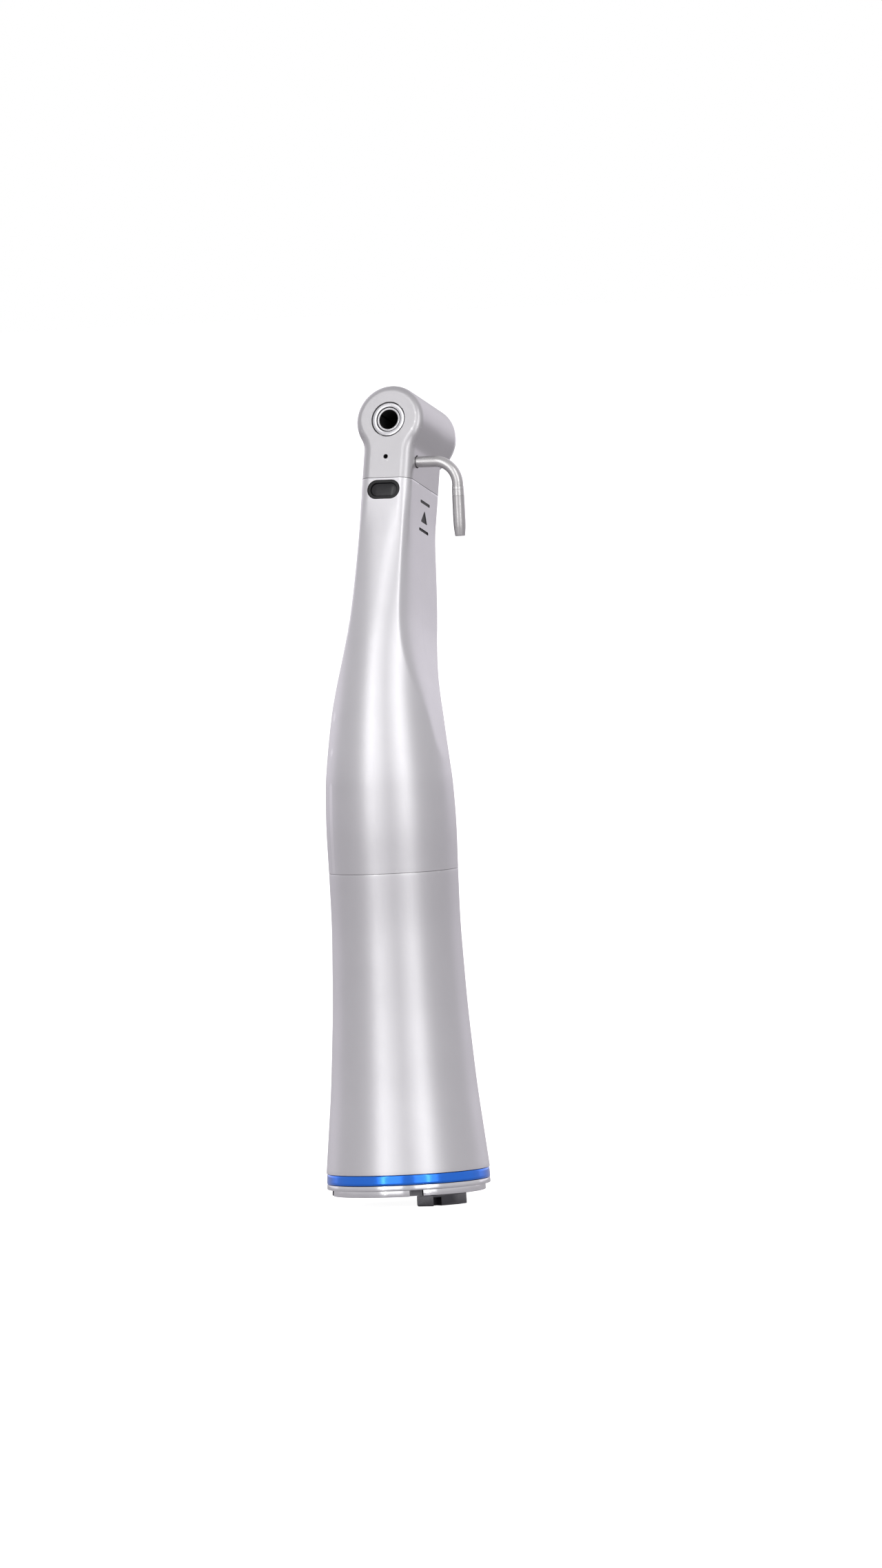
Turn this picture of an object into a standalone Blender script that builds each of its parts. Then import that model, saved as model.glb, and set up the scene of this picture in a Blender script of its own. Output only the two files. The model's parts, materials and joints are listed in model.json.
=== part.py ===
"""Straight-ratio dental contra-angle handpiece with a light window and an irrigation tube.

The origin is the centre of the rear end face. +Z runs along the motor axis towards the head,
-Y is the side that the bur leaves from, and +X is the side that carries the irrigation tube.
Three shafts run in ball bearings: the rear shaft on +Z, the neck shaft on the tilted neck axis,
and the spindle on the head axis, square to the neck. Dimensions are in millimetres and become
metres as each mesh is made.
"""
import math

import bmesh
import bpy
from mathutils import Matrix, Vector

MM = 0.001
TAU = 2 * math.pi

# ---- driving dimensions -------------------------------------------------------------------
NECK_TILT = math.radians(17.5)      # neck axis leans from the motor axis towards +Y
ELBOW_Z = 59.5                      # where the motor axis and the neck axis cross
BEND_TANGENT = 9.5                  # straight length that the outer elbow curve takes up on each axis
HEAD_S = 34.8                       # spindle axis, along the neck axis from the elbow
FRONT_T = -5.3                      # front face of head and neck, measured across the neck axis
NECK_SEAM_S = 27.45                 # joint between neck housing and head housing
SEAM_Z = 39.4                       # joint between rear sheath and neck housing
SEAM_GAP = 0.05                     # half of the visible joint between two housings

NUT_Z = (0.0, 0.75)
NUT_R = 9.4
FLANGE_Z = (0.80, 1.42)
BAND_Z = (1.50, 2.68)
REAR_R = 10.0
COUPLING_R = 6.45                   # bore that takes the motor nozzle
SLEEVE_R = 7.15
CARTRIDGE_R = 6.3
CAVITY_END_Z = 24.5

HEAD_R = 4.35
HEAD_BORE_R = 3.4
HEAD_BACK_T = 5.9
NECK_HALF_WIDTH = 3.3
NECK_BORE_R = 2.65
SPINDLE_R = 1.75
BUR_BORE_R = 1.2

ELBOW_TEETH = 12
HEAD_TEETH = 12

TUBE_R = 0.68
TUBE_T = -3.1                       # irrigation socket, across the neck axis
TUBE_S = 29.85                      # irrigation socket, along the neck axis
TUBE_REACH_X = 8.48                 # axis of the tube's straight lower end
TUBE_BEND_R = 2.8
NIPPLE_Z = (79.7, 85.94)

# Neck outline: station along the spine, half width and half depth of the round body, its
# squareness, half width between the side flats, and the softness of the corner between them.
NECK_STATIONS = (
    (SEAM_Z + SEAM_GAP, 7.90, 7.90, 2.0, 9.00, 0.1),
    (45.0, 7.95, 7.95, 2.0, 9.00, 0.1),
    (50.0, 7.77, 7.77, 2.0, 8.20, 0.1),
    (52.5, 7.52, 7.57, 2.0, 7.62, 0.15),
    (55.0, 7.23, 7.30, 2.0, 7.05, 0.2),
    (58.0, 6.85, 7.00, 2.0, 6.45, 0.2),
    (61.0, 6.47, 6.70, 2.0, 5.78, 0.25),
    (64.0, 6.22, 6.45, 2.0, 5.05, 0.4),
    (67.0, 6.00, 6.25, 2.05, 4.42, 0.7),
    (70.0, 5.80, 6.05, 2.15, 4.00, 1.0),
    (75.0, 5.50, 5.75, 2.4, 3.65, 1.3),
    (80.0, 5.15, 5.50, 2.9, 3.42, 1.6),
    (86.8, 4.60, 5.30, 4.0, 3.30, 1.8),
)
BACK_DEPTH = 1.1       # how much deeper the neck is behind its spine, at the fullest place
BACK_CORNER = 0.45     # softness of the back corners there


# ---- frames and scene helpers ---------------------------------------------------------------
def neck_point(x, across, along):
    """Point given across and along the neck axis, in the handpiece frame."""
    tilt_sin, tilt_cos = math.sin(NECK_TILT), math.cos(NECK_TILT)
    return Vector((x,
                   along * tilt_sin + across * tilt_cos,
                   ELBOW_Z + along * tilt_cos - across * tilt_sin))


def make_frame(name, origin, z_axis, x_axis):
    """Empty whose Z and X axes point as given; pieces are parented to it."""
    z_axis = Vector(z_axis).normalized()
    x_axis = Vector(x_axis).normalized()
    y_axis = z_axis.cross(x_axis)
    basis = Matrix((x_axis, y_axis, z_axis)).transposed().to_4x4()
    empty = bpy.data.objects.new(name, None)
    empty.empty_display_size = 2 * MM
    bpy.context.scene.collection.objects.link(empty)
    empty.matrix_world = Matrix.Translation(Vector(origin) * MM) @ basis
    return empty


def make_material(name, color, roughness, metallic):
    material = bpy.data.materials.new(name)
    material.use_nodes = True
    shader = material.node_tree.nodes["Principled BSDF"]
    shader.inputs["Base Color"].default_value = (*color, 1.0)
    shader.inputs["Roughness"].default_value = roughness
    shader.inputs["Metallic"].default_value = metallic
    material.diffuse_color = (*color, 1.0)
    return material


def add_mesh(name, bm, material, frame=None, smooth_angle=35.0):
    """Turn a bmesh in millimetres into an object in metres under a frame."""
    bmesh.ops.recalc_face_normals(bm, faces=bm.faces)
    bmesh.ops.scale(bm, vec=(MM, MM, MM), verts=bm.verts)
    mesh = bpy.data.meshes.new(name)
    bm.to_mesh(mesh)
    bm.free()
    mesh.shade_smooth()
    mesh.set_sharp_from_angle(angle=math.radians(smooth_angle))
    piece = bpy.data.objects.new(name, mesh)
    if material is not None:
        mesh.materials.append(material)
    bpy.context.scene.collection.objects.link(piece)
    if frame is not None:
        piece.parent = frame
    return piece


def boolean(piece, cutter, operation="DIFFERENCE"):
    """Cut or join with another object, which then only guides the shape."""
    cutter.hide_render = True
    cutter.display_type = "WIRE"
    modifier = piece.modifiers.new(cutter.name, "BOOLEAN")
    modifier.operation = operation
    modifier.solver = "EXACT"
    modifier.object = cutter


# ---- mesh builders --------------------------------------------------------------------------
def bridge_rings(bm, first, second):
    """Quads, or a fan where one ring is a single point, between two rings of vertices."""
    count = max(len(first), len(second))
    for i in range(count):
        j = (i + 1) % count
        if len(first) == 1:
            bm.faces.new((first[0], second[j], second[i]))
        elif len(second) == 1:
            bm.faces.new((first[i], first[j], second[0]))
        else:
            bm.faces.new((first[i], first[j], second[j], second[i]))


def lathe(name, profile, material, frame=None, segments=32, smooth_angle=35.0):
    """Turn a closed outline of (radius, height) points about the frame's Z axis."""
    bm = bmesh.new()
    rings = []
    for radius, height in profile:
        if radius == 0:
            rings.append([bm.verts.new((0, 0, height))])
            continue
        ring = []
        for i in range(segments):
            angle = TAU * i / segments
            ring.append(bm.verts.new((radius * math.cos(angle), radius * math.sin(angle), height)))
        rings.append(ring)
    for i, ring in enumerate(rings):
        following = rings[(i + 1) % len(rings)]
        if len(ring) > 1 or len(following) > 1:
            bridge_rings(bm, ring, following)
    return add_mesh(name, bm, material, frame, smooth_angle)


def arc_profile(center, radius, start_deg, end_deg, steps):
    """Points of an arc in the (radius, height) plane, for a rounded edge."""
    points = []
    for i in range(steps + 1):
        angle = math.radians(start_deg + (end_deg - start_deg) * i / steps)
        points.append((center[0] + radius * math.cos(angle), center[1] + radius * math.sin(angle)))
    return points


def loft(name, sections, material, frame=None, smooth_angle=35.0):
    """Closed solid through equal rings of points, with flat ends."""
    bm = bmesh.new()
    rings = [[bm.verts.new(point) for point in section] for section in sections]
    for first, second in zip(rings, rings[1:]):
        bridge_rings(bm, first, second)
    bm.faces.new(rings[0])
    bm.faces.new(rings[-1])
    return add_mesh(name, bm, material, frame, smooth_angle)


def box(name, low, high, frame=None):
    bm = bmesh.new()
    bmesh.ops.create_cube(bm, size=1.0)
    low, high = Vector(low), Vector(high)
    for vert in bm.verts:
        vert.co = Vector([low[k] + (vert.co[k] + 0.5) * (high[k] - low[k]) for k in range(3)])
    return add_mesh(name, bm, None, frame)


def sweep(bm, path, radius, sides, closed_bore=0.0, spigot=(0, 0.0)):
    """Round wire or pipe along a path of points; a bore makes it a pipe.

    spigot is the number of points at the far end that take a radius of their own, and that radius.
    """
    rings, bores = [], []
    normal = None
    for i, point in enumerate(path):
        ahead = path[min(i + 1, len(path) - 1)] - path[max(i - 1, 0)]
        tangent = ahead.normalized()
        if normal is None:
            normal = tangent.orthogonal().normalized()
        normal = (normal - tangent * normal.dot(tangent)).normalized()
        side = tangent.cross(normal)
        outside = radius if i < len(path) - spigot[0] else spigot[1]
        for target, size in ((rings, outside), (bores, closed_bore)):
            ring = []
            for k in range(sides):
                angle = TAU * k / sides
                offset = normal * math.cos(angle) * size + side * math.sin(angle) * size
                if size:
                    ring.append(bm.verts.new(point + offset))
            target.append(ring)
    for first, second in zip(rings, rings[1:]):
        bridge_rings(bm, first, second)
    if closed_bore:
        for first, second in zip(bores, bores[1:]):
            bridge_rings(bm, second, first)
        bridge_rings(bm, bores[0], rings[0])
        bridge_rings(bm, rings[-1], bores[-1])
    else:
        bm.faces.new(rings[0])
        bm.faces.new(rings[-1])


def coil_spring(name, material, frame, coil_r, wire_r, start, end, turns):
    """Open helical spring between two heights of the wire's axis."""
    per_turn = 10
    count = int(turns * per_turn)
    path = []
    for i in range(count + 1):
        angle = TAU * i / per_turn
        height = start + (end - start) * i / count
        path.append(Vector((coil_r * math.cos(angle), coil_r * math.sin(angle), height)))
    bm = bmesh.new()
    sweep(bm, path, wire_r, 5)
    return add_mesh(name, bm, material, frame, 60.0)


def bevel_gear(name, material, frame, teeth, cone_deg, face, phase, body, tooth):
    """Bevel gear whose apex is the frame's origin and whose teeth look along +Z.

    face is the pitch radius at the inner and outer end of the teeth. body is the bore radius, the
    hub radius, the depth of the rim behind the apex and the depth of the hub's end. tooth is the
    addendum, the dedendum and the share of the pitch that a tooth fills.
    """
    inner_r, outer_r = face
    bore_r, hub_r, rim_depth, hub_depth = body
    addendum, dedendum, fill = tooth
    cone = math.radians(cone_deg)
    element = Vector((math.sin(cone), -math.cos(cone)))
    normal = Vector((math.cos(cone), math.sin(cone)))
    pitch_angle = TAU / teeth
    slope = math.tan(math.radians(20.0))

    def tooth_ring(radius):
        scale = radius / outer_r
        pitch = element * (radius / math.sin(cone))
        tip = pitch + normal * addendum * scale
        root = pitch - normal * dedendum * scale
        half = pitch_angle * fill / 2
        half_tip = half - addendum * slope / outer_r
        half_root = half + dedendum * slope / outer_r
        points = []
        for i in range(teeth):
            middle = pitch_angle * (i + phase)
            for place, offset in ((root, -half_root), (tip, -half_tip), (tip, half_tip),
                                  (root, half_root)):
                points.append((place[0], middle + offset, place[1]))
        return points

    outer = tooth_ring(outer_r)
    inner = tooth_ring(inner_r)
    angles = [point[1] for point in outer]
    rim_r = min(point[0] for point in outer)
    front = min(point[2] for point in inner) - 0.1
    rings = [
        [(bore_r, angle, front) for angle in angles],
        inner,
        outer,
        [(rim_r, angle, -rim_depth) for angle in angles],
        [(hub_r, angle, -hub_depth) for angle in angles],
        [(bore_r, angle, -hub_depth) for angle in angles],
    ]
    bm = bmesh.new()
    loops = []
    for ring in rings:
        loops.append([bm.verts.new((r * math.cos(a), r * math.sin(a), z)) for r, a, z in ring])
    for i, loop in enumerate(loops):
        bridge_rings(bm, loop, loops[(i + 1) % len(loops)])
    return add_mesh(name, bm, material, frame, 25.0)


def ball_bearing(name, frame, steel, cage_material, low, high, bore_r, outer_r, balls):
    """Outer race, inner race and one piece for the cage with its balls."""
    depth = outer_r - bore_r
    race = 0.22 * depth
    ball_r = 0.25 * depth
    pitch_r = (bore_r + outer_r) / 2
    middle = (low + high) / 2
    groove = 0.04 * depth
    lathe(name + "_outer_race", [
        (outer_r, low), (outer_r, high), (outer_r - race, high),
        (outer_r - race + groove, middle), (outer_r - race, low),
    ], steel, frame, 18)
    lathe(name + "_inner_race", [
        (bore_r, low), (bore_r + race, low), (bore_r + race - groove, middle),
        (bore_r + race, high), (bore_r, high),
    ], steel, frame, 18)
    bm = bmesh.new()
    rings = []
    for i in range(balls):
        for offset in (-0.92, -0.6, 0.0, 0.6, 0.92):
            angle = TAU * i / balls + offset * ball_r / pitch_r
            size = max(ball_r * math.sqrt(1 - offset ** 2), 0.4 * ball_r)
            ring = []
            for k in range(6):
                turn = TAU * k / 6
                reach = pitch_r + size * math.cos(turn)
                ring.append(bm.verts.new((reach * math.cos(angle), reach * math.sin(angle),
                                          middle + size * math.sin(turn))))
            rings.append(ring)
    for i, ring in enumerate(rings):
        bridge_rings(bm, ring, rings[(i + 1) % len(rings)])
    add_mesh(name + "_ball_cage", bm, cage_material, frame, 60.0)


# ---- neck outline ---------------------------------------------------------------------------
def neck_station(q):
    """Outline values at a distance along the spine, eased between the stations."""
    for before, after in zip(NECK_STATIONS, NECK_STATIONS[1:]):
        if q <= after[0]:
            share = max(0.0, (q - before[0]) / (after[0] - before[0]))
            return [a + (b - a) * share for a, b in zip(before[1:], after[1:])]
    return list(NECK_STATIONS[-1][1:])


def spine(q):
    """Centre and lean of the housing at a distance along its bent spine."""
    bend_r = BEND_TANGENT / math.tan(NECK_TILT / 2)
    start = ELBOW_Z - BEND_TANGENT
    if q <= start:
        return Vector((0, 0, q)), 0.0
    arc = bend_r * NECK_TILT
    if q <= start + arc:
        lean = (q - start) / bend_r
        return Vector((0, bend_r * (1 - math.cos(lean)), start + bend_r * math.sin(lean))), lean
    return neck_point(0, 0, BEND_TANGENT + q - start - arc), NECK_TILT


def spine_distance(along_neck):
    """Distance along the spine of a place given along the neck axis from the elbow."""
    bend_r = BEND_TANGENT / math.tan(NECK_TILT / 2)
    return ELBOW_Z - 2 * BEND_TANGENT + bend_r * NECK_TILT + along_neck


def neck_section(q, inset, count):
    """One ring of the neck's outline, moved in by a wall thickness."""
    half_x, half_t, power, flat, soft = neck_station(q)
    center, lean = spine(q)
    fullness = max(0.0, 1 - ((q - 70.5) / 13.5) ** 2) ** 2
    ring = []
    for i in range(count):
        angle = TAU * (i + 0.5) / count
        across, front = abs(math.sin(angle)), abs(math.cos(angle))
        behind = min(1.0, max(0.0, -2 * math.cos(angle)))
        behind *= fullness * behind * (3 - 2 * behind)
        depth = half_t + (BACK_DEPTH * fullness if math.cos(angle) < 0 else 0.0)
        body = ((across / half_x) ** power + (front / depth) ** power) ** (-1 / power)
        side = flat / max(across, 1e-6)
        corner = soft + (min(soft, BACK_CORNER) - soft) * behind
        near = max(corner - abs(body - side), 0.0) / corner
        radius = min(body, side) - near * near * corner / 4 - inset
        x, t = radius * math.sin(angle), -radius * math.cos(angle)
        ring.append(center + Vector((x, t * math.cos(lean), -t * math.sin(lean))))
    return ring


# ---- casings --------------------------------------------------------------------------------
def rear_sheath(steel, rear):
    """Flared rear casing, turned, with a stepped bore."""
    outer = [(REAR_R, BAND_Z[1] + SEAM_GAP), (9.5, 7.5), (8.98, 12.6), (8.6, 17.6), (8.27, 22.6),
             (8.05, 27.7), (7.88, 33.0), (7.89, SEAM_Z - SEAM_GAP)]
    bore = [(CARTRIDGE_R + 0.05, SEAM_Z - SEAM_GAP), (CARTRIDGE_R + 0.05, 26.9),
            (SLEEVE_R + 0.06, 26.0), (SLEEVE_R + 0.06, 3.6), (8.05, 3.3), (8.05, BAND_Z[1] + SEAM_GAP)]
    lathe("rear_sheath", outer + bore, steel, rear, 40)


def neck_housing(steel, rear):
    """Bent front casing: round at the rear, flat-sided at the head, hollow right through."""
    end = spine_distance(NECK_SEAM_S - SEAM_GAP)
    start = SEAM_Z + SEAM_GAP
    stops = [start, 45, 50, 52.5, 55, 58, 61, 64, 67, 70, 73, 77, 81.5, end]
    shell = loft("neck_housing", [neck_section(q, 0, 36) for q in stops], steel, rear, 40.0)
    ends = (0.9, start - 1.0), (0.62, end + 1.0)
    wall = [(1.35, start - 1.0), (1.35, 49.0), (0.95, 51.0), (0.95, 56.0), (0.9, 62.0),
            (0.8, 68.0), (0.66, 76.0), (ends[1][0], end + 1.0)]
    hollow = loft("neck_hollow_guide", [neck_section(q, inset, 20) for inset, q in wall], None, rear)
    boolean(shell, hollow)
    slot = stadium("window_cut_guide", WINDOW_HALF[0], WINDOW_HALF[1], FRONT_T - 0.5, FRONT_T + 1.2)
    boolean(shell, slot)


WINDOW_S = 25.95
WINDOW_HALF = (2.13, 1.2)


def stadium(name, half_length, half_height, front, back, material=None, shrink=0.0):
    """Flat-ended oblong slug through the front wall, centred on the light window."""
    ring = []
    radius = half_height - shrink
    straight = half_length - half_height
    for side in (1, -1):
        for i in range(7):
            angle = -math.pi / 2 + math.pi * i / 6 if side > 0 else math.pi / 2 + math.pi * i / 6
            ring.append((side * straight + radius * math.cos(angle), radius * math.sin(angle)))
    sections = []
    for depth in (front, back):
        sections.append([neck_point(x, depth, WINDOW_S + y) for x, y in ring])
    return loft(name, sections, material)


def head_housing(steel, neck, head):
    """Barrel and neck stub in one piece, with the spindle bore, neck bore and irrigation drillings."""
    rim = 0.85
    barrel = arc_profile((HEAD_R - rim, FRONT_T + rim), rim, -90, 0, 4)
    barrel = [(0, FRONT_T)] + barrel + [(HEAD_R, HEAD_BACK_T), (0, HEAD_BACK_T)]
    body = lathe("head_housing", barrel, steel, head, 36)
    boolean(body, head_stub(neck), "UNION")
    bore = [(0, FRONT_T - 1), (2.2, FRONT_T - 1), (2.2, FRONT_T + 0.55), (HEAD_BORE_R, FRONT_T + 0.55),
            (HEAD_BORE_R, HEAD_BACK_T + 1), (0, HEAD_BACK_T + 1)]
    boolean(body, lathe("head_bore_guide", bore, None, head, 32))
    neck_bore = [(0, NECK_SEAM_S - 1), (NECK_BORE_R, NECK_SEAM_S - 1), (NECK_BORE_R, HEAD_S - 1),
                 (0, HEAD_S - 1)]
    boolean(body, lathe("neck_bore_guide", neck_bore, None, neck, 24))
    spray = [(0, -2.6), (0.27, -2.6), (0.27, 1.0), (0, 1.0)]
    spray_frame = make_frame("spray_frame", neck_point(0, FRONT_T, 30.1), neck_point(0, -1, 0)
                             - neck_point(0, 0, 0), (1, 0, 0))
    boolean(body, lathe("spray_drilling_guide", spray, None, spray_frame, 12))
    socket = [(0, -3.5), (0.4, -3.5), (0.4, -1.1), (0.84, -1.1), (0.84, 1.0), (0, 1.0)]
    boolean(body, lathe("socket_guide", socket, None, socket_frame(), 16))


def socket_frame():
    """Frame at the mouth of the irrigation socket, looking out along +X."""
    return make_frame("socket_frame", neck_point(NECK_HALF_WIDTH, TUBE_T, TUBE_S), (1, 0, 0),
                      neck_point(0, 1, 0) - neck_point(0, 0, 0))


def head_stub(neck):
    """Rounded block under the barrel that widens into it through a fillet."""
    fillet = 2.5
    reach = HEAD_R + fillet
    drop = math.sqrt(reach ** 2 - (NECK_HALF_WIDTH + fillet) ** 2)
    start = HEAD_S - drop
    widths = [(NECK_SEAM_S + SEAM_GAP, NECK_HALF_WIDTH)]
    for i in range(5):
        angle = math.atan2(drop, NECK_HALF_WIDTH + fillet) * i / 4
        widths.append((start + fillet * math.sin(angle),
                       NECK_HALF_WIDTH + fillet * (1 - math.cos(angle))))
    widths.append((HEAD_S - 1.2, 3.1))
    sections = []
    for along, half in widths:
        ring = []
        for i in range(32):
            angle = TAU * (i + 0.5) / 32
            across, front = abs(math.sin(angle)), abs(math.cos(angle))
            body = ((across / 4.6) ** 4 + (front / -FRONT_T) ** 4) ** -0.25
            side = half / max(across, 1e-6)
            near = max(1.8 - abs(body - side), 0.0) / 1.8
            radius = min(body, side) - near * near * 0.45
            ring.append((radius * math.sin(angle), -radius * math.cos(angle), along))
        sections.append(ring)
    return loft("head_stub_guide", sections, None, neck)


def rear_rings(steel, blue, rear):
    """Coloured band, polished flange and the ring nut with its spanner notches."""
    lathe("colour_band", [(REAR_R - 0.12, BAND_Z[0]), (REAR_R, BAND_Z[0] + 0.12),
                          (REAR_R, BAND_Z[1] - 0.12), (REAR_R - 0.12, BAND_Z[1]),
                          (8.05, BAND_Z[1]), (8.05, BAND_Z[0])], blue, rear, 40)
    lathe("rear_flange_ring", [(REAR_R - 0.1, FLANGE_Z[0]), (REAR_R, FLANGE_Z[0] + 0.1),
                               (REAR_R, FLANGE_Z[1]), (8.05, FLANGE_Z[1]), (8.05, FLANGE_Z[0])],
          steel, rear, 40)
    nut = lathe("ring_nut", [(6.9, NUT_Z[0]), (NUT_R - 0.1, NUT_Z[0]), (NUT_R, NUT_Z[0] + 0.1),
                             (NUT_R, NUT_Z[1]), (8.0, NUT_Z[1]), (8.0, 3.2), (SLEEVE_R + 0.06, 3.2),
                             (SLEEVE_R + 0.06, 1.0), (6.9, 0.75)], steel, rear, 40)
    for i in range(4):
        angle = math.radians(-62.5 + 90 * i)
        frame = make_frame("notch_frame_%d" % i, (0, 0, 0), (0, 0, 1),
                           (math.cos(angle), math.sin(angle), 0))
        boolean(nut, box("notch_guide_%d" % i, (8.45, -0.85, -1), (11, 0.85, 1.2), frame))


def alignment_lug(dark, rear):
    """Block under the rear face that keys the handpiece to the motor."""
    angle = math.radians(-35)
    frame = make_frame("lug_frame", (0, 0, 0), (0, 0, 1), (math.cos(angle), math.sin(angle), 0))
    outline = [(7.0, -3.4), (7.2, -3.62), (9.14, -2.6), (9.14, 1.2), (8.4, 2.85), (7.0, 2.85)]
    lower = [(7.0, -3.3), (7.2, -3.52), (9.1, -2.55), (9.14, 1.2), (8.4, 2.85), (7.0, 2.85)]
    sections = [[Vector((x, y, z)) for x, y in ring]
                for ring, z in ((lower, -1.33), (outline, -1.15), (outline, -0.05))]
    lug = loft("alignment_lug", sections, dark, frame)
    boolean(lug, box("lug_slot_guide", (8.0, -2.45, -2.0), (10, -1.3, -0.25), frame))


def coupling_sleeve(steel, rear):
    """Lining of the motor bore, with the snap groove and the end wall."""
    lathe("coupling_sleeve", [
        (COUPLING_R + 0.4, 1.05), (SLEEVE_R, 1.05), (SLEEVE_R, 25.5), (3.0, 25.5), (3.0, CAVITY_END_Z),
        (COUPLING_R, CAVITY_END_Z), (COUPLING_R, 7.6), (COUPLING_R + 0.3, 7.3), (COUPLING_R + 0.3, 6.3),
        (COUPLING_R, 6.0), (COUPLING_R, 1.6)], steel, rear, 32)


# ---- rear shaft line ------------------------------------------------------------------------
def rear_line(steel, bright, brass, rear):
    """Cartridge, bearings, shaft, gear and the sprung drive dog on the motor axis."""
    cartridge = lathe("rear_cartridge", [
        (CARTRIDGE_R - 0.3, 26.9), (CARTRIDGE_R, 27.2), (CARTRIDGE_R, 49.5), (4.0, 49.5), (4.0, 27.9),
        (3.2, 27.9), (3.2, 26.9)], steel, rear, 32)
    boolean(cartridge, box("guide_channel", (-0.6, -7, 26), (0.6, -4.75, 50), rear))
    ball_bearing("rear_bearing", rear, bright, brass, 28.0, 31.0, 1.55, 3.95, 6)
    ball_bearing("elbow_bearing", rear, bright, brass, 44.5, 47.5, 1.55, 3.95, 6)
    lathe("bearing_spacer", [(3.3, 31.1), (3.95, 31.1), (3.95, 44.4), (3.3, 44.4)], steel, rear, 24)
    lathe("cartridge_nut", [(3.2, 47.6), (3.95, 47.6), (3.95, 49.3), (3.2, 49.3)], brass, rear, 24)
    lathe("rear_shaft", [
        (0, 14.6), (0.6, 14.6), (0.9, 15.2), (1.5, 15.4), (1.5, 23.6), (2.5, 23.6), (2.5, 24.2),
        (1.5, 24.2), (1.5, 27.4), (1.9, 27.4), (1.9, 27.9), (1.5, 27.9), (1.5, 58.1), (0, 58.1)],
          bright, rear, 24)
    gear_frame = make_frame("rear_gear_frame", (0, 0, ELBOW_Z), (0, 0, 1), (0, 1, 0))
    bevel_gear("rear_drive_gear", bright, gear_frame, ELBOW_TEETH, 81.25, (2.7, 4.0), 0.0,
               (1.55, 2.4, 3.6, 6.2), (0.38, 0.5, 0.44))
    dog = lathe("drive_dog", [(1.56, 13.4), (2.6, 13.4), (2.6, 20.0), (1.56, 20.0)], bright, rear, 24)
    boolean(dog, box("dog_claw_guide", (-3, -0.95, 12), (3, 0.95, 15.6), rear))
    boolean(dog, box("dog_slot_guide", (-3, -0.46, 16.8), (3, 0.46, 18.9), rear))
    pin_frame = make_frame("dog_pin_frame", (0, 0, 18.4), (1, 0, 0), (0, 1, 0))
    shaft = bpy.data.objects["rear_shaft"]
    drilling = [(0, -3), (0.42, -3), (0.42, 3), (0, 3)]
    boolean(shaft, lathe("pin_drilling_guide", drilling, None, pin_frame, 12))
    lathe("dog_pin", [(0, -2.5), (0.38, -2.5), (0.38, 2.5), (0, 2.5)], bright, pin_frame, 12)
    coil_spring("dog_spring", bright, rear, 2.05, 0.18, 20.25, 23.35, 4)


# ---- neck shaft line ------------------------------------------------------------------------
def neck_line(steel, bright, brass, neck):
    """Cartridge tube, bearings, shaft and the two gears on the neck axis."""
    lathe("neck_cartridge", [(2.32, 7.4), (2.6, 7.4), (2.6, 31.0), (2.32, 31.0)], steel, neck, 32)
    lathe("cartridge_collar", [(2.68, 7.6), (3.15, 7.6), (3.15, 9.6), (2.68, 9.6)], brass, neck, 24)
    ball_bearing("neck_rear_bearing", neck, bright, brass, 7.8, 9.8, 1.05, 2.27, 6)
    ball_bearing("neck_front_bearing", neck, bright, brass, 28.6, 30.6, 1.05, 2.27, 6)
    lathe("neck_shaft", [(0, 1.4), (1.0, 1.4), (1.0, 7.0), (1.3, 7.0), (1.3, 7.6), (1.0, 7.8),
                         (1.0, 32.4), (0, 32.4)], bright, neck, 20)
    back = neck_point(0, 0, 0) - neck_point(0, 0, 1)
    across = neck_point(0, 1, 0) - neck_point(0, 0, 0)
    driven_frame = make_frame("driven_gear_frame", neck_point(0, 0, 0), back, across)
    bevel_gear("neck_driven_gear", bright, driven_frame, ELBOW_TEETH, 81.25, (2.7, 4.0), 0.5,
               (1.05, 2.4, 3.6, 6.2), (0.38, 0.5, 0.44))
    pinion_frame = make_frame("pinion_frame", neck_point(0, 0, HEAD_S), -back, across)
    bevel_gear("neck_pinion", bright, pinion_frame, HEAD_TEETH, 45.0, (2.0, 2.35), 0.0,
               (1.05, 1.5, 3.0, 3.6), (0.17, 0.24, 0.43))


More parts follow.
